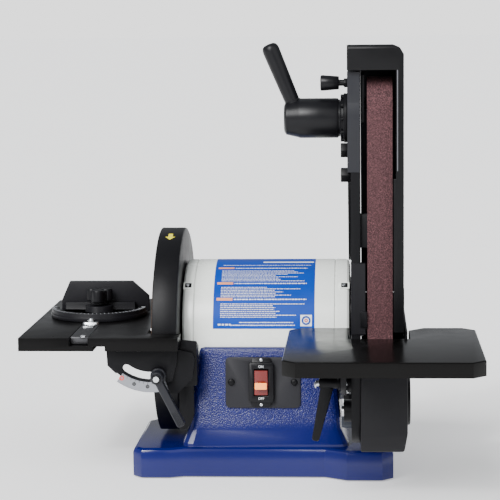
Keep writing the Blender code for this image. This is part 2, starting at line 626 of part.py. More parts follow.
def build_miter():
    """The sliding miter gauge on the disc table."""
    top = DT_TOP
    base_z = top - MITER_DEEP
    pivot = (MITER_X, MITER_PIVOT_Y, top)
    bar = box("miter_bar", (MITER_X - 9.6, MITER_X + 9.6), (-138.0, 62.0), (base_z + 0.4, top - 0.2), pivot)
    post = rod("miter_post", "Z", (MITER_X, MITER_PIVOT_Y), 4.0, top - 2.0, 187.0, COARSE, pivot)
    join(bar, post)
    finish(bar, SATIN, 0.35, 0.5)
    pointer = loft("miter_pointer", [(top + 0.1, rectangle(MITER_X - 9.0, -61.0, MITER_X + 9.0, -49.5, 2.0)),
                                     (top + 2.4, rectangle(MITER_X - 8.4, -60.4, MITER_X + 8.4, -50.1, 2.0))],
                   "Z", pivot)
    finish(pointer, STEEL, 0.25, 0.9)

    centre = (MITER_X, MITER_PIVOT_Y)
    half = arc(centre, 54.5, 180, 360, 24)
    head_outline = [*half, (MITER_X + 54.5, MITER_PIVOT_Y + 8), (MITER_X + 40, MITER_PIVOT_Y + 16.5),
                    (MITER_X - 40, MITER_PIVOT_Y + 16.5), (MITER_X - 54.5, MITER_PIVOT_Y + 8)]
    head = prism("protractor_head", head_outline, "Z", top + GAP, top + 5.0, pivot)
    rim = prism("protractor_rim", sector(centre, 46.0, 53.5, 178, 362, 24), "Z", top + 4.0, top + 9.5, pivot)
    hub = rod("protractor_hub", "Z", centre, 15.5, top + 4.0, top + 11.5, MEDIUM, pivot)
    rib = box("protractor_rib", (MITER_X - 40, MITER_X + 40), (MITER_PIVOT_Y + 9, MITER_PIVOT_Y + 16.5),
              (top + 4.0, top + 13.0), pivot)
    bore = rod("protractor_bore", "Z", centre, 4.4, top - 5, top + 20, COARSE, pivot)
    join(head, rim, hub, rib)
    cut(head, bore)
    for turn in (216, 252, 288, 324):
        window = prism(f"protractor_window_{turn}", sector(centre, 22.0, 40.0, turn - 12, turn + 12, 4),
                       "Z", top - 3, top + 15, pivot)
        cut(head, window)
    finish(head, SATIN, 0.45)

    fence_y = (MITER_PIVOT_Y + 16.9, MITER_PIVOT_Y + 22.0)
    fence = prism("miter_fence", [(-348.5, top + 1.0), (-348.5, 173.5), (-338.5, 196.0), (-266.0, 196.0),
                                  (-247.0, 179.0), (-247.0, top + 1.0)], "Y", *fence_y, pivot)
    finish(fence, BLACK, 0.45)

    knob_z = top + 12.0
    knob = rod("miter_knob", "Z", centre, 9.0, knob_z, knob_z + 17.0, MEDIUM, pivot, 1.5)
    for i in range(3):
        turn = radians(30 + 120 * i)
        lobe_at = (centre[0] + 9.5 * cos(turn), centre[1] + 9.5 * sin(turn))
        lobe = rod(f"knob_lobe_{i}", "Z", lobe_at, 6.5, knob_z + 4.0, knob_z + 18.5, MEDIUM, pivot, 2.0)
        join(knob, lobe)
    knob_bore = rod("knob_bore", "Z", centre, 4.4, knob_z - 2, 187.6, COARSE, pivot)
    cut(knob, knob_bore)
    finish(knob, BLACK, 0.5)


# -------------------------------------------------------------------- belt side

def build_arm():
    """The casting between the motor and the belt, with its tension parts."""
    shaft = (0.0, SHAFT_Z)
    outline = hull(circle((IDLER_Y, TOP_IDLER_Z - 2), 27.0, MEDIUM) + circle((IDLER_Y, LOW_IDLER_Z), 33.0, MEDIUM)
                   + circle(shaft, 70.0, FINE) + [(-216.5, HOUSING_TOP_Z)])
    arm = prism("arm_casting", outline, "X", ARM_LEFT, ARM_RIGHT)
    cut(arm, rod("port_hole", "X", DUST_PORT, 7.6, -40.0, 10.0, COARSE),
        box("front_trim", (-30, 10), (-240.0, -210.6), (HOUSING_TOP_Z + 1.0, 480.0)))
    keep = [rod("shaft_hole", "X", shaft, 22.0, -20.0, 0.0, MEDIUM),
            rod("axle_hole", "X", (IDLER_Y, LOW_IDLER_Z), 6.4, -30.0, 0.0, COARSE)]
    plate = prism("upper_boss", rectangle(-210.9, 338.0, -146.0, 438.6, 3.0), "X", -17.4, -4.4)
    face = box("front_face", (ARM_LEFT - 0.2, 0.4), (-211.0, -203.5), (174.0, 247.0))
    low_boss = rod("axle_boss", "X", (IDLER_Y, LOW_IDLER_Z), 12.0, -22.0, ARM_LEFT + 2, MEDIUM)
    web = prism("back_rib", hull(circle((-150.0, 322.0), 12.0, COARSE) + circle((-100.0, 250.0), 14.0, COARSE)),
                "X", -17.4, -12.0)
    join(arm, plate, face, low_boss, web)
    cut(arm, *keep)
    hub_hole = rod("hub_hole", "X", (HUB_Y, HUB_Z), 7.4, -30.0, 0.0, COARSE)
    knob_hole = rod("knob_hole", "X", (HUB_Y, 426.5), 3.6, -30.0, 0.0, COARSE)
    stud_hole = rod("belt_stud_hole", "X", belt_stud_place(), 4.4, -40.0, 0.0, COARSE)
    stud_boss = rod("belt_stud_boss", "X", belt_stud_place(), 9.0, -18.4, ARM_LEFT + 2, MEDIUM)
    join(arm, stud_boss)
    cut(arm, hub_hole, knob_hole, stud_hole)
    finish(arm, SATIN, 0.45)

    low_axle = lathe("bottom_axle", [(0, -24.5), (6.0, -24.5), (6.0, 30.5), (0, 30.5)], "X",
                     (IDLER_Y, LOW_IDLER_Z), COARSE)
    finish(low_axle, STEEL, 0.3, 1.0)

    carriage = prism("tension_carriage", rectangle(-203.0, HUB_Z - 6.0, -162.0, 438.0, 3.0), "X",
                     ARM_RIGHT + 1.0, -0.2, (0.0, IDLER_Y, TOP_IDLER_Z))
    axle = rod("top_axle", "X", (IDLER_Y, TOP_IDLER_Z), 6.0, -1.0, 30.5, COARSE, (0.0, IDLER_Y, TOP_IDLER_Z))
    join(carriage, axle)
    finish(carriage, STEEL, 0.35, 1.0)

    for name, centre in (("top_idler", TOP_IDLER_Z), ("bottom_idler", LOW_IDLER_Z)):
        build_wheel(name, (IDLER_Y, centre), IDLER_R, 6.0, 11.0, MEDIUM)
    build_wheel("drive_wheel", shaft, DRIVE_R, SHAFT_R, 18.0, FINE)

    flange = tube("tension_flange", "X", (HUB_Y, HUB_Z), 25.0, 7.4, -24.4, -17.7, FINE)
    finish(flange, BLACK, 0.5)
    hub_pivot = (-50.0, HUB_Y, HUB_Z)
    lever = lathe("tension_lever", [(0, -81.5), (13.5, -81.5), (16.5, -79.5), (HUB_R, -66.0), (HUB_R, -25.9),
                                    (HUB_R - 1.2, -24.7), (7.0, -24.7), (7.0, -6.0), (0, -6.0)],
                  "X", (HUB_Y, HUB_Z), FINE, hub_pivot)
    lean = atan2(96.8 - 72.4, 466.0 - 406.8)
    grip_profile = [(0, 4.0), (7.0, 4.0), (7.3, 16.0), (8.6, 16.6), (8.6, 19.0), (7.5, 20.0),
                    (8.6, 74.0), (8.0, 78.4), (5.0, 80.8), (0, 81.4)]
    grip = lathe("tension_grip", grip_profile, "Z", (0.0, 0.0), MEDIUM)
    grip.rotation_euler.y = -lean
    grip.location = Vector((-66.0, HUB_Y, HUB_Z)) * MM
    join(lever, grip)
    finish(lever, BLACK, 0.45)

    knob = lathe("tracking_knob", [(0, -44.7), (7.8, -44.7), (8.8, -43.4), (7.2, -26.4), (6.4, -25.6), (3.2, -25.6),
                                   (3.2, -5.6), (0, -5.6)], "X", (HUB_Y, 426.5), MEDIUM, (-35.0, HUB_Y, 426.5))
    finish(knob, BLACK, 0.5)

    platen = box("platen", (4.0, 26.0), (-207.9, -204.9), (186.0, 372.0))
    foot = box("platen_foot", (ARM_RIGHT + GAP, 10.0), (-206.0, -196.0), (262.0, 296.0))
    join(platen, foot)
    finish(platen, STEEL, 0.35, 1.0)

    half = BELT_WIDE / 2
    belt = prism("abrasive_belt", wheel_path(TOP_IDLER_Z, BELT_GAP + BELT_THICK), "X", BELT_X - half, BELT_X + half)
    inner = prism("belt_inside", wheel_path(TOP_IDLER_Z, BELT_GAP), "X", BELT_X - half - 2, BELT_X + half + 2)
    cut(belt, inner)
    finish(belt, GRIT, 0.9)


def build_wheel(name, centre, radius, bore, hub, steps):
    """A belt wheel with a dished web on both sides."""
    bore += GAP
    low, high = BELT_X - BELT_WIDE / 2 + 0.2, BELT_X + BELT_WIDE / 2 - 0.2
    rim = radius - 5.0
    dish = 6.0
    profile = [(bore, low), (hub, low), (hub + 1, low + dish), (rim, low + dish), (rim + 1, low), (radius, low),
               (radius, high), (rim + 1, high), (rim, high - dish), (hub + 1, high - dish), (hub, high), (bore, high)]
    wheel = lathe(name, profile, "X", centre, steps, (BELT_X, *centre))
    finish(wheel, STEEL, 0.35, 1.0)
    return wheel


def build_covers():
    """The upper cover with its cap, the lower housing, their knobs and the dust port."""
    shaft = (0.0, SHAFT_Z)
    def upper(grow):
        return hull([(COVER_FRONT - grow, 100.0), (COVER_FRONT - grow, CAP_TOP_Z - 3 + grow),
                     (COVER_FRONT + 3, CAP_TOP_Z + grow), (-158.0, CAP_TOP_Z + grow),
                     (-144.0 + grow, CAP_TOP_Z - 10 + grow)] + circle(shaft, 74.0 + grow, FINE))
    cover = prism("upper_cover", upper(0.0), "X", -17.5, COVER_RIGHT)
    inside = prism("upper_inside", upper(-3.5), "X", -30.0, COVER_RIGHT - 3.0)
    below = box("below_split", (-40, 60), (-260, 120), (0.0, COVER_SPLIT_Z))
    # The front is open beside the belt, with a wider flange below the arm's boss.
    front_open = box("front_open", (-40.0, 28.6), (-260, -213.9), (0.0, CAP_LOW_Z))
    boss_open = box("boss_open", (-40.0, 31.0), (-260, -213.9), (332.0, CAP_LOW_Z))
    arm_side = box("arm_side", (-40.0, ARM_RIGHT + 0.6), (-260, 120), (0.0, CAP_LOW_Z))
    corner = prism("cap_corner", [(COVER_RIGHT + 2, CAP_TOP_Z - 12), (COVER_RIGHT + 2, CAP_TOP_Z + 5),
                                  (COVER_RIGHT - 10, CAP_TOP_Z + 5), (COVER_RIGHT - 10, CAP_TOP_Z + 0.01),
                                  (COVER_RIGHT - 4, CAP_TOP_Z - 2.5), (COVER_RIGHT, CAP_TOP_Z - 9),
                                  (COVER_RIGHT + 0.01, CAP_TOP_Z - 12)], "Y", -260.0, 100.0)
    roof = box("cap_roof", (-17.5, COVER_RIGHT - 1.0), (COVER_FRONT + 0.5, -150.0), (CAP_TOP_Z - 8.0, CAP_TOP_Z - 1.0))
    cut(cover, inside, below, front_open, boss_open, arm_side)
    join(cover, roof)
    cut(cover, corner)
    finish(cover, BLACK, 0.4)

    def lower(grow):
        low = LOW_IDLER_Z - 37.0
        return hull([(COVER_FRONT - grow, HOUSING_TOP_Z), (COVER_FRONT - grow, 70.0), (-210.0, low - grow),
                     (-150.0, low - grow), (-40.0, 68.0 - grow), (-204.0, COVER_SPLIT_Z + 30)]
                    + circle(shaft, 74.0 + grow, FINE))
    housing = prism("lower_cover", lower(0.0), "X", ARM_RIGHT + 0.4, LOW_COVER_RIGHT)
    hollow = prism("lower_inside", lower(-3.0), "X", -30.0, LOW_COVER_RIGHT - 3.0)
    above = box("above_split", (-40, 60), (-260, 120), (COVER_SPLIT_Z - 0.6, 480.0))
    table_room = box("table_room", (-40, 60), (-260, -204.5), (HOUSING_TOP_Z, 300.0))
    edge = prism("housing_edge", [(LOW_COVER_RIGHT - 8, 30.0), (LOW_COVER_RIGHT - 8, 50.0), (LOW_COVER_RIGHT - 3, 54.5),
                                  (LOW_COVER_RIGHT, 74.0), (LOW_COVER_RIGHT + 4, 74.0), (LOW_COVER_RIGHT + 4, 30.0)],
                 "Y", -260.0, 120.0)
    cut(housing, hollow, above, table_room, edge)
    finish(housing, SATIN, 0.45)

    upper_knob = lathe("cover_knob_upper", [(0, COVER_RIGHT + GAP), (12.5, COVER_RIGHT + GAP), (13.6, COVER_RIGHT + 0.9),
                                            (13.6, COVER_RIGHT + 1.5), (12.5, COVER_RIGHT + 2.3), (0, COVER_RIGHT + 2.3)],
                       "X", (-120.0, 196.0), MEDIUM, (COVER_RIGHT, -120.0, 196.0))
    finish(upper_knob, BLACK, 0.45)
    x = LOW_COVER_RIGHT + GAP
    lower_knob = lathe("cover_knob_lower", [(0, x), (24.0, x), (25.5, x + 0.8), (25.5, x + 3.0), (24.0, x + 3.9), (0, x + 3.9)],
                       "X", (-140.0, 92.0), FINE, (x, -140.0, 92.0))
    finish(lower_knob, BLACK, 0.45)

    port = lathe("dust_port", [(7.6, ARM_LEFT - GAP), (9.6, ARM_LEFT - GAP), (9.6, -22.5), (7.9, -25.0),
                               (7.6, -25.0)], "X", DUST_PORT, MEDIUM)
    finish(port, SLATE, 0.5)


def belt_stud_place():
    """Where the belt table's lock stud stands, in Y and Z."""
    return (-202.0, 122.6)


def build_belt_table():
    """The slotted table beside the belt, its trunnion, stud and lock lever."""
    pivot = (0.0, BT_PIVOT_Y, BT_PIVOT_Z)
    low = BT_TOP - BT_THICK
    outline = [(BT_LEFT + 13, BT_FRONT), (BT_RIGHT - 13, BT_FRONT), (BT_RIGHT, BT_FRONT + 13),
               (BT_RIGHT, BT_BACK - 13), (BT_RIGHT - 13, BT_BACK), (SLOT_RIGHT + 16, BT_BACK),
               (SLOT_RIGHT, BT_BACK - 16), (SLOT_RIGHT, SLOT_FRONT), (SLOT_LEFT, SLOT_FRONT),
               (SLOT_LEFT, BT_BACK), (BT_LEFT + 13, BT_BACK), (BT_LEFT, BT_BACK - 13), (BT_LEFT, BT_FRONT + 13)]
    table = loft("belt_table", [(low, outline), (BT_TOP - 1.0, outline), (BT_TOP, inset(outline, 0.8))], "Z", pivot)
    land = BT_TOP - 0.65
    relief = prism("slot_relief", [(SLOT_FRONT + 4, land), (BT_PIVOT_Y - 2.1 + land - BT_PIVOT_Z, land),
                                   (BT_PIVOT_Y - 2.1 + low - 2.0 - BT_PIVOT_Z, low - 2.0), (SLOT_FRONT + 4, low - 2.0)],
                   "X", SLOT_LEFT - 0.01, SLOT_RIGHT + 0.01)
    pocket = box("table_pocket", (BT_LEFT + 10, BT_RIGHT - 10), (BT_FRONT + 10, SLOT_FRONT - 24), (low - 1, BT_TOP - 5))
    cut(table, relief, pocket)
    finish(table, BLACK, 0.25)

    stud_y, stud_z = belt_stud_place()
    centre = (BT_PIVOT_Y, BT_PIVOT_Z)
    radius = hypot(stud_y - BT_PIVOT_Y, stud_z - BT_PIVOT_Z)
    rest = degrees(atan2(stud_z - BT_PIVOT_Z, stud_y - BT_PIVOT_Y))
    plate = prism("belt_trunnion", [(-252.0, low - GAP), (-252.0, 138.0)]
                  + arc(centre, radius + 9.0, rest - 52, rest + 12, 10) + [(-184.0, 138.0), (-184.0, low - GAP)],
                  "X", -24.4, -18.8, pivot)
    slot = prism("belt_tilt_slot", arc_slot(centre, radius, 8.4, rest - 46, rest + 3), "X", -27.0, -16.0, pivot)
    cut(plate, slot)
    finish(plate, SATIN, 0.45)
    stud = lathe("belt_lock_stud", [(0, -50.0), (3.2, -50.0), (3.2, -18.0), (3.9, -18.0), (3.9, ARM_RIGHT), (0, ARM_RIGHT)],
                 "X", belt_stud_place(), COARSE)
    finish(stud, STEEL, 0.3, 1.0)
    lever = lathe("belt_lock_lever", [(3.6, -47.0), (4.8, -47.0), (5.4, -46.2), (5.4, -28.0), (7.0, -27.2),
                                      (7.0, -24.8), (3.6, -24.8)], "X", (stud_y, stud_z), MEDIUM,
                  (-36.0, stud_y, stud_z))
    arm = loft("belt_lever_arm", [(4.0, rectangle(-6.6, -3.2, 6.6, 3.2, 0.8)), (59.0, rectangle(-3.8, -3.2, 3.8, 3.2, 0.8)),
                                  (61.0, rectangle(-2.6, -2.2, 2.6, 2.2, 0.8))], "Z")
    arm.rotation_euler = (0.0, pi + radians(12.5), 0.0)
    arm.location = Vector((-38.0, stud_y, stud_z)) * MM
    join(lever, arm)
    stud_room = rod("lever_bore", "X", (stud_y, stud_z), 3.6, -60.0, -20.0, COARSE, (-36.0, stud_y, stud_z))
    cut(lever, stud_room)
    finish(lever, SATIN, 0.4)


# ------------------------------------------------------------------------- main

def main():
    """Build every piece."""
    global FRAME
    clear_scene()
    FRAME = new_frame()
    build_base()
    build_switch()
    build_motor()
    build_disc()
    build_disc_brackets()
    build_disc_table()
    build_miter()
    build_arm()
    build_covers()
    build_belt_table()


main()
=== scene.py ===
"""The bench sander's looks: finishes, fine pieces, studio and camera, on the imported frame."""

from __future__ import annotations

import json
import logging
import random
from dataclasses import dataclass
from enum import Enum
from math import atan2, cos, pi, radians, sin

import bmesh
import bpy
from bmesh.types import BMesh
from mathutils import Matrix, Vector

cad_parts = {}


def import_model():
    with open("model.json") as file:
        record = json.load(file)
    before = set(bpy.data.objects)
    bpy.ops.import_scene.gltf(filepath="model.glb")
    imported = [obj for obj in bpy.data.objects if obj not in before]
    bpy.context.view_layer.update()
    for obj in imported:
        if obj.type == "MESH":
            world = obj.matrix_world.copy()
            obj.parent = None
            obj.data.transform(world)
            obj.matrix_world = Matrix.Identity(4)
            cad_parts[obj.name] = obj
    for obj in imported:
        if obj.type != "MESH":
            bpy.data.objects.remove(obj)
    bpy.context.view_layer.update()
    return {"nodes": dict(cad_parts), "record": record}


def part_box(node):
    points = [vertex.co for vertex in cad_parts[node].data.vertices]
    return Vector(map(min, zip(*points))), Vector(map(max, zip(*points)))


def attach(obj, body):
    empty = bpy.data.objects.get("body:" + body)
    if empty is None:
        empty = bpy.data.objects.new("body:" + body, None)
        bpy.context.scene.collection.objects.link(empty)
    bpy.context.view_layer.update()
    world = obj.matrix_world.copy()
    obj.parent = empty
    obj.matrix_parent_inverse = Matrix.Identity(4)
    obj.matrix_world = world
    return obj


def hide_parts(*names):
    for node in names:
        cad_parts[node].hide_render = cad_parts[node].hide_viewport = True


LOG = logging.getLogger("bench_sander")
MM = 0.001
Point = tuple[float, float]
Place = tuple[float, float, float]
Colour = tuple[float, float, float]

MOTOR_AXIS: Point = (0.0, 144.7)  # Y and Z of the spindle
CAP_INSET = 33.0  # from the motor's right end to the machine's origin in X
IDLER_RADIUS = 26.0
DRIVE_RADIUS = 62.0
BELT_WIDE = 25.4


class Axis(Enum):
    """A direction that a shape is turned about or extruded along."""

    X = 0
    Y = 1
    Z = 2

    def spot(self, along: float, a: float, b: float) -> Vector:
        """Return the place at a distance along this axis with the other two coordinates."""
        return Vector({Axis.X: (along, a, b), Axis.Y: (a, along, b), Axis.Z: (a, b, along)}[self])

    def way(self) -> Vector:
        """Return the unit vector of this axis."""
        return Vector([float(i == self.value) for i in range(3)])


def moved(bm: BMesh, by: Vector | Place) -> BMesh:
    """Shift a whole mesh."""
    bmesh.ops.translate(bm, verts=bm.verts, vec=by)
    return bm


def shown(name: str, data: bpy.types.ID) -> bpy.types.Object:
    """Put a mesh, curve, lamp or camera in the scene as a new object.

    Args:
        name: The object's name.
        data: Its mesh, curve, lamp or camera.

    Returns:
        The new object.
    """
    holder = bpy.data.objects.new(name, data)
    bpy.context.scene.collection.objects.link(holder)
    return holder


# ------------------------------------------------------------------- finishes


class Nodes:
    """A small builder of one Principled material's node tree."""

    def __init__(self, name: str) -> None:
        """Start a material with its shader and its coordinates.

        Args:
            name: The material's name.
        """
        self.material = bpy.data.materials.new(name)
        self.material.use_nodes = True
        self.tree = self.material.node_tree
        self.shader = self.tree.nodes["Principled BSDF"]
        self.coords = self.tree.nodes.new("ShaderNodeTexCoord")

    def link(self, source: bpy.types.NodeSocket, target: bpy.types.NodeSocket) -> None:
        """Join one socket to another."""
        self.tree.links.new(source, target)

    def drive(self, value: str, source: bpy.types.NodeSocket) -> None:
        """Feed one of the shader's inputs from a socket."""
        self.link(source, self.shader.inputs[value])

    def place(self, stretch: Place = (1.0, 1.0, 1.0)) -> bpy.types.NodeSocket:
        """Return object coordinates, stretched along each axis.

        Args:
            stretch: Scale along each axis.

        Returns:
            The coordinates.
        """
        mapping = self.tree.nodes.new("ShaderNodeMapping")
        mapping.inputs["Scale"].default_value = stretch
        self.link(self.coords.outputs["Object"], mapping.inputs["Vector"])
        return mapping.outputs["Vector"]

    def noise(self, scale: float, detail: float = 2.0, stretch: Place = (1.0, 1.0, 1.0),
              roughness: float = 0.5) -> bpy.types.NodeSocket:
        """Return a noise pattern's factor.

        Args:
            scale: Features per metre.
            detail: Octaves of finer noise.
            stretch: Scale along each axis first.
            roughness: How strong the finer octaves are.

        Returns:
            The factor socket.
        """
        node = self.tree.nodes.new("ShaderNodeTexNoise")
        node.inputs["Scale"].default_value = scale
        node.inputs["Detail"].default_value = detail
        node.inputs["Roughness"].default_value = roughness
        self.link(self.place(stretch), node.inputs["Vector"])
        return node.outputs["Fac"]

    def cells(self, scale: float) -> bpy.types.NodeSocket:
        """Return the smooth distance to the nearest cell centre.

        Args:
            scale: Cells per metre.

        Returns:
            The distance socket.
        """
        node = self.tree.nodes.new("ShaderNodeTexVoronoi")
        node.feature = "SMOOTH_F1"
        node.inputs["Scale"].default_value = scale
        node.inputs["Smoothness"].default_value = 0.4
        self.link(self.place(), node.inputs["Vector"])
        return node.outputs["Distance"]

    def spread(self, value: bpy.types.NodeSocket, low: float, high: float,
               to_low: float = 0.0, to_high: float = 1.0) -> bpy.types.NodeSocket:
        """Map one range of a value onto another.

        Args:
            value: The value to map.
            low: Where its range starts.
            high: Where its range ends.
            to_low: What the start becomes.
            to_high: What the end becomes.

        Returns:
            The mapped value.
        """
        node = self.tree.nodes.new("ShaderNodeMapRange")
        node.inputs["From Min"].default_value = low
        node.inputs["From Max"].default_value = high
        node.inputs["To Min"].default_value = to_low
        node.inputs["To Max"].default_value = to_high
        self.link(value, node.inputs["Value"])
        return node.outputs["Result"]

    def maths(self, operation: str, a: bpy.types.NodeSocket, b: bpy.types.NodeSocket) -> bpy.types.NodeSocket:
        """Return the result of one operation on two values.

        Args:
            operation: The operation's name.
            a: The first value.
            b: The second value.

        Returns:
            The result.
        """
        node = self.tree.nodes.new("ShaderNodeMath")
        node.operation = operation
        self.link(a, node.inputs[0])
        self.link(b, node.inputs[1])
        return node.outputs[0]

    def height(self) -> bpy.types.NodeSocket:
        """Return the height above the bench in metres.

        Returns:
            The height socket.
        """
        node = self.tree.nodes.new("ShaderNodeSeparateXYZ")
        self.link(self.coords.outputs["Object"], node.inputs[0])
        return node.outputs["Z"]

    def blend(self, factor: bpy.types.NodeSocket, first: Colour, second: Colour) -> bpy.types.NodeSocket:
        """Return a colour between two by a factor.

        Args:
            factor: How much of the second colour shows.
            first: The colour at 0.
            second: The colour at 1.

        Returns:
            The colour socket.
        """
        node = self.tree.nodes.new("ShaderNodeMix")
        node.data_type = "RGBA"
        self.link(factor, node.inputs["Factor"])
        for socket in node.inputs:
            if socket.name in ("A", "B") and socket.type == "RGBA":
                socket.default_value = (*(first if socket.name == "A" else second), 1.0)
        return next(s for s in node.outputs if s.type == "RGBA")

    def relief(self, value: bpy.types.NodeSocket, strength: float, depth: float) -> None:
        """Raise the surface by a pattern.

        Args:
            value: The pattern.
            strength: How strongly it shows.
            depth: Its height in metres.
        """
        node = self.tree.nodes.new("ShaderNodeBump")
        node.inputs["Strength"].default_value = strength
        node.inputs["Distance"].default_value = depth
        self.link(value, node.inputs["Height"])
        self.link(node.outputs["Normal"], self.shader.inputs["Normal"])

    def plain(self, roughness: float, metallic: float = 0.0, coat: float = 0.0,
              specular: float = 0.5) -> None:
        """Set the shader's constant values.

        Args:
            roughness: How dull the surface is.
            metallic: How metallic it is.
            coat: Strength of a clear coat.
            specular: Strength of the reflection.
        """
        self.shader.inputs["Roughness"].default_value = roughness
        self.shader.inputs["Metallic"].default_value = metallic
        self.shader.inputs["Coat Weight"].default_value = coat
        self.shader.inputs["Coat Roughness"].default_value = 0.12
        self.shader.inputs["Specular IOR Level"].default_value = specular


@dataclass(frozen=True)
class PowderCoat:
    """Sprayed paint on metal, with a fine orange-peel skin."""

    name: str
    colour: Colour
    roughness: float
    peel: float = 0.25
    grain: float = 900.0
    specular: float = 0.5
    coat: float = 0.0
    shift: float = 0.18

    def build(self) -> bpy.types.Material:
        """Return the material.

        Returns:
            The material.
        """
        nodes = Nodes(self.name)
        nodes.plain(self.roughness, 0.0, self.coat, self.specular)
        broad = nodes.noise(14.0, 3.0)
        light = tuple(min(1.0, c * (1 + self.shift)) for c in self.colour)
        dark = tuple(c * (1 - self.shift) for c in self.colour)
        nodes.drive("Base Color", nodes.blend(broad, dark, light))
        smudge = nodes.noise(45.0, 4.0, roughness=0.6)
        nodes.drive("Roughness", nodes.spread(smudge, 0.3, 0.7, self.roughness * 0.88,
                                              min(1.0, self.roughness * 1.14)))
        nodes.relief(nodes.noise(self.grain, 2.0), self.peel, 0.00012)
        return nodes.material


@dataclass(frozen=True)
class HammeredPaint:
    """Hammer-tone paint above a height, running smooth and glossy below it."""

    name: str
    deep: Colour
    bright: Colour
    smooth_below: float

    def build(self) -> bpy.types.Material:
        """Return the material.

        Returns:
            The material.
        """
        nodes = Nodes(self.name)
        nodes.plain(0.3, 0.0, 0.0, 0.4)
        upper = nodes.spread(nodes.height(), self.smooth_below - 0.006, self.smooth_below + 0.004)
        cells = nodes.cells(620.0)
        crumbs = nodes.noise(820.0, 3.0, roughness=0.65)
        pattern = nodes.maths("ADD", cells, crumbs)
        tone = nodes.maths("MULTIPLY", nodes.spread(pattern, 1.1, 1.5), upper)
        colour = nodes.blend(tone, self.deep, self.bright)
        nodes.drive("Base Color", colour)
        nodes.drive("Roughness", nodes.spread(upper, 0.0, 1.0, 0.2, 0.24))
        soft = nodes.spread(nodes.noise(70.0, 2.0), 0.0, 1.0, 0.0, 0.12)
        nodes.relief(nodes.maths("ADD", nodes.maths("MULTIPLY", pattern, upper), soft), 0.75, 0.0005)
        return nodes.material


@dataclass(frozen=True)
class AbrasiveGrit:
    """Coated abrasive: packed grains of two shades on a resin-coloured ground."""

    name: str
    ground: Colour
    grain: Colour
    scale: float = 1250.0

    def build(self) -> bpy.types.Material:
        """Return the material.

        Returns:
            The material.
        """
        nodes = Nodes(self.name)
        nodes.plain(0.85, 0.0, 0.0, 0.35)
        fine = nodes.noise(self.scale, 3.0, roughness=0.8)
        coarse = nodes.noise(self.scale * 0.42, 2.0, roughness=0.7)
        mixed = nodes.maths("MULTIPLY", nodes.spread(fine, 0.43, 0.6), nodes.spread(coarse, 0.3, 0.65, 0.3, 1.0))
        nodes.drive("Base Color", nodes.blend(mixed, self.ground, self.grain))
        nodes.relief(fine, 0.8, 0.0003)
        return nodes.material


@dataclass(frozen=True)
class WorkedMetal:
    """Bare metal with tool marks that run one way."""

    name: str
    colour: Colour
    roughness: float
    stretch: Place = (1.0, 1.0, 1.0)
    marks: float = 700.0

    def build(self) -> bpy.types.Material:
        """Return the material.

        Returns:
            The material.
        """
        nodes = Nodes(self.name)
        nodes.plain(self.roughness, 1.0)
        lines = nodes.noise(self.marks, 3.0, self.stretch, 0.6)
        dark = tuple(c * 0.78 for c in self.colour)
        nodes.drive("Base Color", nodes.blend(lines, dark, self.colour))
        nodes.drive("Roughness", nodes.spread(lines, 0.3, 0.7, self.roughness * 0.75, self.roughness * 1.3))
        nodes.relief(lines, 0.15, 0.0001)
        return nodes.material


@dataclass(frozen=True)
class MouldedPlastic:
    """Moulded plastic or rubber with a faint spark-eroded skin."""

    name: str
    colour: Colour
    roughness: float
    skin: float = 0.2
    specular: float = 0.5
    glow: Colour | None = None
    glow_strength: float = 0.0

    def build(self) -> bpy.types.Material:
        """Return the material.

        Returns:
            The material.
        """
        nodes = Nodes(self.name)
        nodes.plain(self.roughness, specular=self.specular)
        mottle = nodes.noise(60.0, 3.0)
        light = tuple(min(1.0, c * 1.12) for c in self.colour)
        dark = tuple(c * 0.88 for c in self.colour)
        nodes.drive("Base Color", nodes.blend(mottle, dark, light))
        nodes.drive("Roughness", nodes.spread(mottle, 0.3, 0.7, self.roughness * 0.9, min(1.0, self.roughness * 1.1)))
        nodes.relief(nodes.noise(1600.0, 1.0), self.skin, 0.00008)
        if self.glow:
            nodes.shader.inputs["Emission Color"].default_value = (*self.glow, 1.0)
            nodes.shader.inputs["Emission Strength"].default_value = self.glow_strength
        return nodes.material


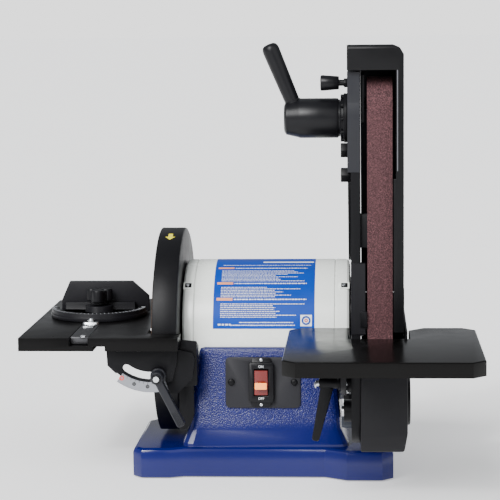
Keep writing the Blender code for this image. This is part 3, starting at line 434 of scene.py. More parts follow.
class Finishes:
    """Every finish of the machine, built once."""

    def __init__(self) -> None:
        """Build the materials."""
        make = {
            "blue_cast": HammeredPaint("blue_cast", (0.0026, 0.0052, 0.086), (0.022, 0.028, 0.17), 0.056),
            "black_cast": PowderCoat("black_cast", (0.0036, 0.0036, 0.0046), 0.42, 0.35, 1100.0, 0.14),
            "black_sheet": PowderCoat("black_sheet", (0.0036, 0.0036, 0.0042), 0.34, 0.2, 1300.0, 0.16),
            "dark_cast": PowderCoat("dark_cast", (0.0072, 0.007, 0.0088), 0.4, 0.35, 1100.0, 0.18),
            "grey_cast": PowderCoat("grey_cast", (0.010, 0.0105, 0.014), 0.4, 0.35, 1100.0, 0.3),
            "table_black": PowderCoat("table_black", (0.0022, 0.002, 0.0019), 0.2, 0.1, 700.0, 0.12, 0.0),
            "disc_table_black": PowderCoat("disc_table_black", (0.0022, 0.002, 0.0021), 0.3, 0.25, 900.0, 0.12),
            "cream": PowderCoat("cream", (0.80, 0.83, 0.79), 0.26, 0.08, 420.0, 0.5, 0.2, 0.015),
            "switch_grey": PowderCoat("switch_grey", (0.014, 0.014, 0.017), 0.5, 0.3, 1500.0, 0.22),
            "belt_grit": AbrasiveGrit("belt_grit", (0.015, 0.0045, 0.006), (0.15, 0.06, 0.066), 1050.0),
            "disc_grit": AbrasiveGrit("disc_grit", (0.03, 0.015, 0.01), (0.14, 0.08, 0.05), 1100.0),
            "dark_steel": WorkedMetal("dark_steel", (0.09, 0.09, 0.095), 0.4, (1.0, 0.2, 1.0)),
            "scale_silver": WorkedMetal("scale_silver", (0.36, 0.37, 0.4), 0.36, (0.5, 1.0, 1.0), 500.0),
            "turned": WorkedMetal("turned", (0.6, 0.61, 0.62), 0.28, (6.0, 0.4, 0.4)),
            "zinc": WorkedMetal("zinc", (0.72, 0.74, 0.76), 0.24, (1.0, 1.0, 1.0), 300.0),
            "copper": WorkedMetal("copper", (0.45, 0.2, 0.1), 0.4),
            "black_plastic": MouldedPlastic("black_plastic", (0.0048, 0.0048, 0.006), 0.34, 0.2, 0.2),
            "grey_plastic": MouldedPlastic("grey_plastic", (0.022, 0.028, 0.04), 0.45, 0.2, 0.3),
            # A pale grey that is a painted highlight: the light caught by the upper cover's inner edge.
            "edge_grey": MouldedPlastic("edge_grey", (0.11, 0.11, 0.125), 0.4, 0.1, 0.3),
            "rubber": MouldedPlastic("rubber", (0.006, 0.006, 0.006), 0.85, 0.2, 0.2),
            "rocker_red": MouldedPlastic("rocker_red", (0.14, 0.012, 0.01), 0.18, 0.05),
            "rocker_glow": MouldedPlastic("rocker_glow", (0.9, 0.3, 0.06), 0.25, 0.05, 0.5, (1.0, 0.27, 0.04), 1.2),
            "white_ink": MouldedPlastic("white_ink", (0.75, 0.78, 0.8), 0.5, 0.05),
            "grey_ink": MouldedPlastic("grey_ink", (0.32, 0.33, 0.35), 0.5, 0.05),
            "orange_ink": MouldedPlastic("orange_ink", (0.75, 0.28, 0.12), 0.5, 0.05),
            "yellow_ink": MouldedPlastic("yellow_ink", (0.7, 0.62, 0.03), 0.5, 0.05),
            "red_ink": MouldedPlastic("red_ink", (0.6, 0.04, 0.03), 0.5, 0.05),
            "black_ink": MouldedPlastic("black_ink", (0.02, 0.02, 0.02), 0.5, 0.05),
            "label_blue": MouldedPlastic("label_blue", (0.0015, 0.042, 0.31), 0.4, 0.05, 0.12),
        }
        self._made = {name: finish.build() for name, finish in make.items()}

    def __getitem__(self, name: str) -> bpy.types.Material:
        """Return a finish by name."""
        return self._made[name]


# ------------------------------------------------------------------ mesh tools


class Shop:
    """Makes and places the pieces: the machine's own millimetres in, placed objects out."""

    def __init__(self, finishes: Finishes) -> None:
        """Find the machine's origin from the motor's place in the frame.

        Args:
            finishes: The finishes that pieces are dressed with.
        """
        self.finishes = finishes
        low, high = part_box("motor_housing")
        middle = (low + high) / 2
        self.shift = Vector((high.x + CAP_INSET * MM, middle.y, middle.z - MOTOR_AXIS[1] * MM))
        self.body_of = {node: body for body, nodes in frame["record"]["behaviour"]["bodies"].items()
                        for node in nodes}
        self.slot_of = {part["node"]: part["material_slot"] for part in frame["record"]["subparts"]}
        self.count = 0

    def turned(self, profile: list[Point], axis: Axis, centre: Point, steps: int = 96,
               closed: bool = False) -> BMesh:
        """Spin a profile into a round shape.

        Args:
            profile: (radius, along) points in millimetres.
            axis: The axis it turns about.
            centre: The axis's two other coordinates.
            steps: Sides of a full turn.
            closed: Whether the profile's ends are joined, as on a ring.

        Returns:
            The mesh, in millimetres.
        """
        bm = bmesh.new()
        side = {Axis.X: (0, 1), Axis.Y: (1, 0), Axis.Z: (1, 0)}[axis]
        verts = [bm.verts.new(axis.spot(along, centre[0] + r * side[0], centre[1] + r * side[1]))
                 for r, along in profile]
        pairs = list(zip(verts, verts[1:])) + ([(verts[-1], verts[0])] if closed else [])
        edges = [bm.edges.new(pair) for pair in pairs]
        bmesh.ops.spin(bm, geom=verts + edges, cent=axis.spot(0.0, *centre), axis=axis.way(),
                       angle=2 * pi, steps=steps, use_merge=True, use_duplicate=False)
        bmesh.ops.remove_doubles(bm, verts=bm.verts, dist=1e-4)
        bmesh.ops.recalc_face_normals(bm, faces=bm.faces)
        return bm

    def block(self, outline: list[Point], axis: Axis, low: float, high: float, edge: float = 0.0,
              segments: int = 3) -> BMesh:
        """Extrude an outline and round its edges.

        Args:
            outline: The corners, in the plane across the axis.
            axis: The direction of the extrusion.
            low: Its start along the axis.
            high: Its end along the axis.
            edge: The rounding's width, or none.
            segments: Faces across the rounding.

        Returns:
            The mesh, in millimetres.
        """
        bm = bmesh.new()
        face = bm.faces.new([bm.verts.new(axis.spot(low, *point)) for point in outline])
        raised = bmesh.ops.extrude_face_region(bm, geom=[face])["geom"]
        lifted = [v for v in raised if isinstance(v, bmesh.types.BMVert)]
        bmesh.ops.translate(bm, verts=lifted, vec=axis.way() * (high - low))
        bmesh.ops.recalc_face_normals(bm, faces=bm.faces)
        if edge:
            self.round_edges(bm, edge, segments)
        return bm

    def round_edges(self, bm: BMesh, width: float, segments: int = 3, least: float = 32.0) -> None:
        """Bevel every edge sharper than an angle in degrees.

        Args:
            bm: The mesh.
            width: The rounding's width.
            segments: Faces across the rounding.
            least: Only edges sharper than this are rounded.
        """
        edges = [e for e in bm.edges if e.is_manifold and e.calc_face_angle() > radians(least)]
        bmesh.ops.bevel(bm, geom=edges, offset=width, offset_type="OFFSET", affect="EDGES",
                        segments=segments, profile=0.5, material=-1, clamp_overlap=True)

    def node_copy(self, node: str, edge: float, segments: int = 2, least: float = 32.0) -> BMesh:
        """Return a frame node's shape, merged, cleaned and with rounded edges, in millimetres.

        Args:
            node: The frame node.
            edge: The rounding's width, or none.
            segments: Faces across the rounding.
            least: Only edges sharper than this are rounded.

        Returns:
            The mesh, in millimetres.
        """
        bm = bmesh.new()
        bm.from_mesh(frame["nodes"][node].data)
        moved(bm, -self.shift)
        bmesh.ops.scale(bm, verts=bm.verts, vec=(1 / MM,) * 3)
        bmesh.ops.remove_doubles(bm, verts=bm.verts, dist=0.002)
        bmesh.ops.dissolve_limit(bm, angle_limit=radians(0.6), verts=bm.verts, edges=bm.edges)
        if edge:
            self.round_edges(bm, edge, segments, least)
        return bm

    def put(self, bm: BMesh, name: str, finish: str, node: str, stands_for: tuple[str, ...] = (),
            sharp: float = 32.0) -> bpy.types.Object:
        """Turn a mesh into a piece that rides with a node's body.

        Args:
            bm: The mesh, in the machine's millimetres.
            name: The piece's name.
            finish: The finish's name.
            node: A frame node on the same body.
            stands_for: Frame nodes that this piece replaces.
            sharp: Edges past this angle stay sharp in the shading.

        Returns:
            The new object.
        """
        bmesh.ops.scale(bm, verts=bm.verts, vec=(MM,) * 3)
        moved(bm, self.shift)
        mesh = bpy.data.meshes.new(name)
        bm.to_mesh(mesh)
        bm.free()
        mesh.shade_smooth()
        mesh.set_sharp_from_angle(angle=radians(sharp))
        mesh.materials.append(self.finishes[finish])
        piece = shown(name, mesh)
        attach(piece, self.body_of[node])
        if stands_for:
            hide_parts(*stands_for)
        self.count += 1
        LOG.info("piece %s on %s: %d faces", name, self.body_of[node], len(mesh.polygons))
        return piece

    def stand_in(self, bm: BMesh, node: str, finish: str) -> bpy.types.Object:
        """Put a mesh in place of one frame node."""
        return self.put(bm, f"{node}_piece", finish, node, (node,))

    def refine(self, node: str, finish: str, edge: float = 0.6, segments: int = 2,
               least: float = 32.0) -> bpy.types.Object:
        """Replace a frame node by its own shape with rounded edges."""
        return self.stand_in(self.node_copy(node, edge, segments, least), node, finish)

    def dress(self, node: str, finish: str) -> None:
        """Give a frame node that keeps its own mesh a finish.

        Args:
            node: The frame node.
            finish: The finish's name.
        """
        materials = frame["nodes"][node].data.materials
        materials.clear()
        materials.append(self.finishes[finish])

    def merged(self, *meshes: BMesh) -> BMesh:
        """Gather several meshes into the first.

        Args:
            meshes: The meshes; all but the first are used up.

        Returns:
            The first mesh, with the others in it.
        """
        first, *rest = meshes
        for other in rest:
            spare = bpy.data.meshes.new("spare")
            other.to_mesh(spare)
            other.free()
            first.from_mesh(spare)
            bpy.data.meshes.remove(spare)
        return first

    def turn(self, bm: BMesh, angle: float, axis: Axis, about: Place) -> BMesh:
        """Rotate a mesh by degrees about an axis through a place."""
        bmesh.ops.rotate(bm, verts=bm.verts, cent=about, matrix=Matrix.Rotation(radians(angle), 3, axis.name))
        return bm

    def bolt(self, axis: Axis, centre: Point, seat: float, height: float, across: float,
             washer: float = 0.0) -> BMesh:
        """Return a hexagon bolt head on its washer.

        Args:
            axis: The bolt's axis.
            centre: The axis's two other coordinates.
            seat: The surface it sits on, along the axis.
            height: The head's height; negative points the other way.
            across: The head's width across flats.
            washer: The washer's diameter, or none.

        Returns:
            The mesh, in millimetres.
        """
        radius = across / 2 / cos(pi / 6)
        way = 1.0 if height > 0 else -1.0
        start = seat + way * (1.3 if washer else 0.1)
        corners = [(centre[0] + radius * cos(i * pi / 3), centre[1] + radius * sin(i * pi / 3)) for i in range(6)]
        head = self.block(corners, axis, start, start + height, 0.5, 2)
        if not washer:
            return head
        r = washer / 2
        ring = self.turned([(0, seat + way * 0.1), (r, seat + way * 0.1), (r, seat + way * 1.0),
                            (r - 0.3, seat + way * 1.2), (0, seat + way * 1.2)], axis, centre, 40)
        return self.merged(head, ring)

    def cross_screw(self, axis: Axis, centre: Point, seat: float, height: float, radius: float) -> BMesh:
        """Return a round-headed screw with a cross recess, its head out along the axis.

        Args:
            axis: The screw's axis.
            centre: The axis's two other coordinates.
            seat: The surface it sits on, along the axis.
            height: The head's height; negative points the other way.
            radius: The head's radius.

        Returns:
            The mesh, in millimetres.
        """
        way = 1.0 if height > 0 else -1.0
        top = seat + height
        head = self.turned([(0, seat + way * 0.05), (radius, seat + way * 0.05), (radius, seat + height * 0.35),
                            (radius * 0.86, seat + height * 0.75), (radius * 0.55, top - way * 0.05), (0, top)],
                           axis, centre, 32)
        bars = []
        for wide, tall in ((radius * 1.15, radius * 0.26), (radius * 0.26, radius * 1.15)):
            a, b = centre
            bars.append(self.block([(a - wide / 2, b - tall / 2), (a + wide / 2, b - tall / 2),
                                    (a + wide / 2, b + tall / 2), (a - wide / 2, b + tall / 2)],
                                   axis, top - way * 0.25, top + way * 0.08))
        return self.merged(head, *bars)


def arc(centre: Point, radius: float, start: float, end: float, steps: int) -> list[Point]:
    """Return points on an arc, angles in degrees from the first axis."""
    turns = [radians(start + (end - start) * i / steps) for i in range(steps + 1)]
    return [(centre[0] + radius * cos(t), centre[1] + radius * sin(t)) for t in turns]


def oblong(a0: float, b0: float, a1: float, b1: float, corner: float = 0.0, steps: int = 6) -> list[Point]:
    """Return a rectangle's outline with round corners.

    Args:
        a0: Left edge.
        b0: Lower edge.
        a1: Right edge.
        b1: Upper edge.
        corner: The corners' radius, or none.
        steps: Sides of each corner.

    Returns:
        The outline.
    """
    if not corner:
        return [(a0, b0), (a1, b0), (a1, b1), (a0, b1)]
    return (arc((a1 - corner, b1 - corner), corner, 0, 90, steps) + arc((a0 + corner, b1 - corner), corner, 90,
                                                                        180, steps)
            + arc((a0 + corner, b0 + corner), corner, 180, 270, steps)
            + arc((a1 - corner, b0 + corner), corner, 270, 360, steps))


# ---------------------------------------------------------------- sub-assemblies


@dataclass
class BaseStand:
    """The blue cast base with its cover and feet."""

    shop: Shop
    edge: float = 2.2

    def build(self) -> None:
        """Build and dress the base."""
        shop = self.shop
        shop.refine("base_casting", "blue_cast", self.edge, 3, 24.0)
        shop.dress("bottom_cover", "black_sheet")
        for where in ("front_left", "front_right", "rear_left", "rear_right"):
            shop.dress(f"foot_{where}", "rubber")
        shop.refine("cord_gland", "black_plastic", 0.4)


@dataclass
class SwitchBox:
    """The switch plate, the rocker switch and their screws, on the leaning face."""

    shop: Shop
    centre: Place = (-110.8, -88.0, 100.6)
    lean: float = -4.88
    offset: Point = (-1.6, 0.6)

    def leaned(self, bm: BMesh) -> BMesh:
        """Move a mesh made about the plate's middle onto the pedestal's face.

        Args:
            bm: The mesh.

        Returns:
            The same mesh, moved.
        """
        self.shop.turn(bm, self.lean, Axis.X, (0, 0, 0))
        moved(bm, self.centre)
        return bm

    def word(self, text: str, size: float, spot: Point, depth: float) -> BMesh:
        """Return a plain word as a thin mesh on the switch.

        Args:
            text: The word.
            size: Letter height in millimetres.
            spot: The word's middle across and up.
            depth: Its place out from the plate.

        Returns:
            The mesh, in millimetres.
        """
        curve = bpy.data.curves.new(text, "FONT")
        curve.body, curve.size, curve.extrude = text, size, 0.06
        curve.align_x, curve.align_y = "CENTER", "CENTER"
        holder = shown(text, curve)
        mesh = bpy.data.meshes.new_from_object(holder)
        bpy.data.objects.remove(holder, do_unlink=True)
        bm = bmesh.new()
        bm.from_mesh(mesh)
        self.shop.turn(bm, 90.0, Axis.X, (0, 0, 0))
        moved(bm, (spot[0], depth, spot[1]))
        return bm

    def build(self) -> None:
        """Build and dress the switch."""
        shop = self.shop
        x, z = self.offset
        shop.refine("switch_plate", "switch_grey", 0.45, 2)
        shop.refine("switch_body", "black_plastic", 0.45, 2)
        shop.refine("switch_rocker", "rocker_red", 0.5, 2)
        band = self.leaned(shop.block(oblong(x - 6.4, z - 6.6, x + 6.4, z + 0.4, 0.6, 3), Axis.Y, -16.25, -15.2,
                                      0.2, 2))
        shop.put(band, "rocker_window", "rocker_glow", "switch_rocker")
        for name, word, dz in (("upper", "ON", 17.3), ("lower", "OFF", -17.3)):
            shop.put(self.leaned(self.word(word, 3.7, (x, z + dz), -9.1)), f"switch_word_{name}", "white_ink",
                     "switch_body")
        for side, sx in (("left", -34.2), ("right", 34.2)):
            screw = shop.cross_screw(Axis.Y, (sx, 0.4), -2.4, -2.3, 3.6)
            shop.put(self.leaned(screw), f"plate_screw_{side}_piece", "black_cast", "plate_screw_left",
                     (f"plate_screw_{side}",))
            dimple = shop.turned([(3.9, -2.45), (4.9, -2.45), (4.9, -2.7), (3.9, -2.7)], Axis.Y, (sx, 0.4), 40, True)
            shop.put(self.leaned(dimple), f"plate_screw_ring_{side}", "switch_grey", "switch_plate")
        for where, dz in (("top", 24.1), ("bottom", -24.1)):
            screw = shop.cross_screw(Axis.Y, (x, z + dz), -5.0, -1.2, 1.9)
            shop.put(self.leaned(screw), f"switch_screw_{where}", "zinc", "switch_body")


@dataclass
class Motor:
    """The motor's shell, end caps, clips and rating label."""

    shop: Shop
    axis: Point = MOTOR_AXIS
    radius: float = 79.0
    left: float = -200.8
    right: float = -16.0
    label_left: float = -165.6
    label_right: float = -54.8

    def build_shell(self) -> None:
        """Build the tube and both end caps."""
        shop, r = self.shop, self.radius
        a, b = self.left + 14.0, self.right - 17.0
        tube = shop.turned([(r - 3, a), (r - 0.7, a), (r, a + 0.9), (r, b - 0.9), (r - 0.7, b), (r - 3, b)],
                           Axis.X, self.axis, 144, True)
        shop.put(tube, "motor_tube", "cream", "motor_housing", ("motor_housing",))
        for side, outer, inner in (("left", self.left, self.left + 13.7), ("right", self.right, self.right - 16.7)):
            way = 1.0 if inner > outer else -1.0
            profile = [(17.4, outer), (58.0, outer), (60.0, outer + 0.8 * way), (r - 6, outer + 0.8 * way),
                       (r - 2.2, outer + 1.6 * way), (r - 0.4, outer + 3.6 * way), (r, outer + 6.0 * way),
                       (r, inner - 0.8 * way), (r - 0.7, inner), (r - 5, inner),
                       (r - 5, outer + 5 * way), (26, outer + 5 * way), (26, outer + 13 * way), (17.4,
                                                                                                 outer + 13 * way)]
            node = f"motor_end_cap_{side}"
            shop.stand_in(shop.turned(profile, Axis.X, self.axis, 144, True), node, "cream")

    def patch(self, x0: float, x1: float, turn0: float, turn1: float, lift: float, steps: int) -> BMesh:
        """Return a thin curved sheet on the shell.

        Args:
            x0: Left edge.
            x1: Right edge.
            turn0: Lower edge, in degrees up from straight forwards.
            turn1: Upper edge.
            lift: Height of its face above the shell.
            steps: Faces round the curve.

        Returns:
            The mesh, in millimetres.
        """
        bm = bmesh.new()
        r = self.radius + lift
        start = radians(turn0)
        points = [(x, self.axis[0] - r * cos(start), self.axis[1] + r * sin(start)) for x in (x0, x1)]
        edge = bm.edges.new([bm.verts.new(p) for p in points])
        bmesh.ops.spin(bm, geom=[edge, *edge.verts], cent=(0, *self.axis), axis=(1, 0, 0),
                       angle=-radians(turn1 - turn0), steps=steps, use_merge=False, use_duplicate=False)
        for face in bm.faces:
            face.normal_update()
            if face.normal.dot(face.calc_center_median() - Vector((face.calc_center_median().x, *self.axis))) < 0:
                face.normal_flip()
        return bm

    def build_label(self) -> None:
        """Build the label's ground, its ruled lines, bars and ring mark."""
        shop = self.shop
        low, high = 9.5, 96.0
        ground = self.patch(self.label_left, self.label_right, low, high, 0.12, 40)
        shop.put(ground, "label_ground", "label_blue", "motor_housing")
        dice = random.Random(7)
        left, right = self.label_left + 6.5, self.label_right - 3.0
        blocks = ((66.5, 51.0, 9), (47.5, 35.5, 7), (32.5, 18.5, 8))
        lines: list[BMesh] = []
        bars: list[BMesh] = []
        for top, bottom, rows in blocks:
            bars.append(self.patch(left - 3.0, left + 14.5, top, top + 2.3, 0.2, 2))
            self.ruled(lines, dice, left + 16.0, right - 6.0, top + 0.5, 1.3, 0.9)
            for row in range(rows):
                turn = top - 3.2 - row * (top - 3.2 - bottom) / (rows - 1)
                self.ruled(lines, dice, left + 1.5, left + 1.5 + dice.uniform(50.0, 92.0), turn, 0.72, 0.85)
        for row, (start, end) in enumerate(((0.22, 0.8), (0.12, 0.82))):
            width = right - left
            self.ruled(lines, dice, left + start * width, left + end * width, 14.2 - 2.2 * row, 0.9, 0.6)
        self.ruled(lines, dice, left - 1.0, left + 13.0, 12.2, 1.7, 1.4)
        lines.append(self.patch(left + 46.0, right + 1.0, 78.0, 80.6, 0.2, 2))
        self.ruled(lines, dice, left + 2.0, right - 2.0, 72.2, 0.9, 0.8)
        shop.put(shop.merged(*lines), "label_lines", "white_ink", "motor_housing")
        shop.put(shop.merged(*bars), "label_bars", "orange_ink", "motor_housing")
        mark = self.label_right - 9.2
        square = self.patch(mark - 6.2, mark + 6.2, 11.6, 20.6, 0.2, 4)
        shop.put(square, "label_mark_ground", "white_ink", "motor_housing")
        for name, outer, inner, finish in (("ring", 4.9, 3.1, "label_blue"), ("dot", 1.9, 0.8, "red_ink")):
            disc = shop.turned([(inner, -0.62), (outer, -0.62), (outer, -0.3), (inner, -0.3)], Axis.Y,
                               (mark, 0.0), 48, True)
            moved(disc, (0, -self.radius, 0))
            shop.turn(disc, -16.1, Axis.X, (0, 0, 0))
            moved(disc, (0, *self.axis))
            shop.put(disc, f"label_mark_{name}", finish, "motor_housing")

    def ruled(self, lines: list[BMesh], dice: random.Random, x0: float, x1: float, turn: float,
              tall: float, most_gap: float) -> None:
        """Add one broken line of print as short dashes.

        Args:
            lines: The list the dashes are added to.
            dice: The seeded source of dash lengths.
            x0: Where the line starts.
            x1: Where it ends.
            turn: Its height on the shell, in degrees.
            tall: The dashes' height in millimetres.
            most_gap: The widest gap between dashes.
        """
        x = x0
        rise = tall / self.radius * 180 / pi
        while x < x1:
            width = dice.uniform(0.9, 3.4)
            lines.append(self.patch(x, min(x + width, x1), turn, turn + rise, 0.2, 1))
            x += width + dice.uniform(0.4, most_gap)

    def build_clips(self) -> None:
        """Build the two through-bolt windows at the ends of the tube."""
        shop = self.shop
        turn = 46.0
        r = self.radius
        for side, x in (("left", self.left + 7.0), ("right", self.right - 6.5)):
            frame_bits = shop.block(oblong(x - 5.5, -4.6, x + 5.5, 4.6, 1.0, 3), Axis.Y, -1.3, 0.8, 0.4, 2)
            pit = shop.block(oblong(x - 3.6, -3.0, x + 3.6, 3.0, 0.6, 3), Axis.Y, -1.45, -0.6)
            pin = shop.turned([(0, -2.2), (1.6, -2.2), (1.9, -1.8), (1.9, -0.9), (0, -0.9)], Axis.Y,
                              (x - 0.6, 0.2), 24)
            for bm, name, finish in ((frame_bits, "window", "cream"), (pit, "pit", "black_cast"),
                                     (pin, "bolt", "zinc")):
                moved(bm, (0, -r, 0))
                shop.turn(bm, -turn, Axis.X, (0, 0, 0))
                moved(bm, (0, *self.axis))
                shop.put(bm, f"motor_{name}_{side}", finish, "motor_housing")

    def build(self) -> None:
        """Build the whole motor."""
        self.build_shell()
        self.build_label()
        self.build_clips()
        self.shop.dress("stator", "copper")
        for node in ("bearing_left", "bearing_right", "motor_rotor"):
            self.shop.dress(node, "turned")


@dataclass
class DiscUnit:
    """The sanding disc and its guard."""

    shop: Shop
    axis: Point = MOTOR_AXIS
    disc_radius: float = 101.6
    guard_radius: float = 115.0
    face: float = -230.4
    flat: float = 39.0

    def build(self) -> None:
        """Build the disc, the guard and its arrow."""
        shop, r = self.shop, self.disc_radius
        back = self.face + 1.2
        grit = shop.turned([(0, self.face), (r - 0.3, self.face), (r, self.face + 0.3), (r, back - 0.35),
                            (0, back - 0.35)],
                           Axis.X, self.axis, 144)
        shop.stand_in(grit, "abrasive_disc", "disc_grit")
        plate = shop.turned([(0, back), (r - 0.5, back), (r, back + 0.5), (r, back + 7.0), (r - 0.5, back + 7.5),
                             (24, back + 9), (22, back + 9.5), (22, back + 21.5), (21.5, back + 22), (8.3, back + 22),
                             (8.3, back + 3), (0, back + 3)], Axis.X, self.axis, 144)
        shop.stand_in(plate, "disc_plate", "turned")
        self.build_guard()
        for side in ("front", "rear"):
            shop.refine(f"guard_bracket_{side}", "black_cast", 1.2, 3)

    def build_guard(self) -> None:
        """Build the guard's drum, its outlet and the rotation arrow."""
        shop, r = self.shop, self.guard_radius
        left, right = -228.4, -201.3
        shell = [(27, right - 3), (r - 3.5, right - 3), (r - 3.5, left), (r - 1.0, left), (r - 0.3, left + 0.3),
                 (r, left + 1.0), (r, right - 2.4), (r - 0.7, right - 0.8), (r - 2.4, right), (27, right)]
        drum = shop.turned(shell, Axis.X, self.axis, 160, True)
        cut = bmesh.ops.bisect_plane(drum, geom=drum.verts[:] + drum.edges[:] + drum.faces[:],
                                     plane_co=(0, 0, self.flat),
                                     plane_no=(0, 0, 1), clear_inner=True)["geom_cut"]
        bmesh.ops.holes_fill(drum, edges=[e for e in cut if isinstance(e, bmesh.types.BMEdge)])
        sill = shop.block(oblong(left + 0.3, -44.2, right - 0.5, 44.2), Axis.Z, self.flat + 0.15, self.flat + 2.5)
        port = shop.turned([(10.2, 91.0), (12.6, 91.0), (12.6, 129.2), (13.4, 129.8), (13.4, 131.4), (12.8, 132.0),
                            (10.2, 132.0)], Axis.Y, (-214.8, 78.0), 64, True)
        shop.stand_in(shop.merged(drum, sill, port), "disc_guard", "black_cast")
        arrow = [(-2.4, 7.5), (2.4, 7.5), (2.4, -0.5), (5.6, -0.5), (0.0, -8.0), (-5.6, -0.5), (-2.4, -0.5)]
        bm = shop.block([(x - 215.0, y) for x, y in arrow], Axis.Z, 0.0, 0.12)
        moved(bm, (0, 0, r - 0.02))
        shop.turn(bm, 18.0, Axis.X, (0, 0, 0))
        moved(bm, (0, *self.axis))
        shop.put(bm, "guard_arrow", "yellow_ink", "disc_guard")
        for i in range(4):
            turn = radians(45 + 90 * i)
            spot = (self.axis[0] + 44 * cos(turn), self.axis[1] + 44 * sin(turn))
            shop.put(shop.bolt(Axis.X, spot, -204.4, -4.0, 9.0, 14.0), f"guard_bolt_{i}", "zinc", "disc_guard")


@dataclass
class DiscTable:
    """The tilting disc table with its trunnions, scale and lock lever."""

    shop: Shop
    pivot: Point = (-228.5, 160.0)
    stud: Point = (-220.2, 115.8)

    def build(self) -> None:
        """Build the table and everything that tilts with it."""
        shop = self.shop
        shop.refine("disc_table", "disc_table_black", 0.9, 2)
        for side in ("front", "rear"):
            shop.refine(f"disc_trunnion_{side}", "black_cast", 0.7, 2)
        self.build_scale()
        shop.refine("lock_stud_rear", "zinc", 0.3)
        shop.dress("lock_stud_front", "zinc")
        self.build_lever()
        for i, (x, y) in enumerate(((-262.0, -134.0), (-240.0, -134.0), (-214.0, -134.0))):
            shop.put(shop.cross_screw(Axis.Z, (x, y), 145.2, -2.4, 3.2), f"table_screw_{i}", "black_cast",
                     "disc_table")

    def build_scale(self) -> None:
        """Build the bright scale with its ringed stops and ruled ticks."""
        shop, c = self.shop, self.pivot
        outline = arc(c, 62.6, 234.4, 287.6, 28) + arc(c, 51.4, 287.6, 234.4, 28)
        shop.stand_in(shop.block(outline, Axis.Y, -127.95, -126.85, 0.15, 1), "tilt_scale", "scale_silver")
        for i, turn in enumerate((236.5, 251.5, 266.5)):
            spot = (c[0] + 56.4 * cos(radians(turn)), c[1] + 56.4 * sin(radians(turn)))
            ink = "red_ink" if i == 0 else "black_ink"
            out = 2.6 if i == 0 else 2.0
            ring = shop.turned([(out - 1.2, -128.3), (out, -128.3), (out, -127.9), (out - 1.2, -127.9)], Axis.Y, spot,
                               32, True)
            dot = shop.turned([(0, -128.2), (0.5, -128.2), (0.5, -127.9), (0, -127.9)], Axis.Y, spot, 20)
            shop.put(shop.merged(ring, dot), f"scale_stop_{i}", ink, "tilt_scale")
        ticks: list[BMesh] = []
        for i in range(10):
            tick = shop.block(oblong(c[0] - 0.22, c[1] - (53.8 if i % 3 else 54.9), c[0] + 0.22, c[1] - 51.6),
                              Axis.Y, -128.15, -127.9)
            ticks.append(shop.turn(tick, -(236.5 + i * 5.0 - 270.0), Axis.Y, (c[0], 0, c[1])))
        shop.put(shop.merged(*ticks), "scale_ticks", "black_ink", "tilt_scale")

    def build_lever(self) -> None:
        """Build the ratchet lever, its ribbed grip and centre screw."""
        shop = self.shop
        x, z = self.stud
        shop.refine("disc_lock_lever", "grey_cast", 0.6, 2)
        collar = shop.turned([(3.2, -146.5), (5.0, -146.5), (5.2, -147.2), (4.8, -147.7), (3.2, -147.5)], Axis.Y,
                             (x, z), 48, True)
        shop.put(collar, "lever_collar", "black_plastic", "disc_lock_lever")
        screw = shop.cross_screw(Axis.Y, (x, z), -146.7, -1.0, 3.0)
        shop.put(screw, "lever_screw", "zinc", "disc_lock_lever")
        ribs: list[BMesh] = []
        for i in range(4):
            rib = shop.block(oblong(x - 3.6 + 1.9 * i, z - 56.5, x - 2.5 + 1.9 * i, z - 41.0, 0.4, 3), Axis.Y,
                             -146.7, -145.6,
                             0.2, 2)
            ribs.append(shop.turn(rib, -26.8, Axis.Y, (x, 0, z)))
        shop.put(shop.merged(*ribs), "lever_ribs", "grey_cast", "disc_lock_lever")


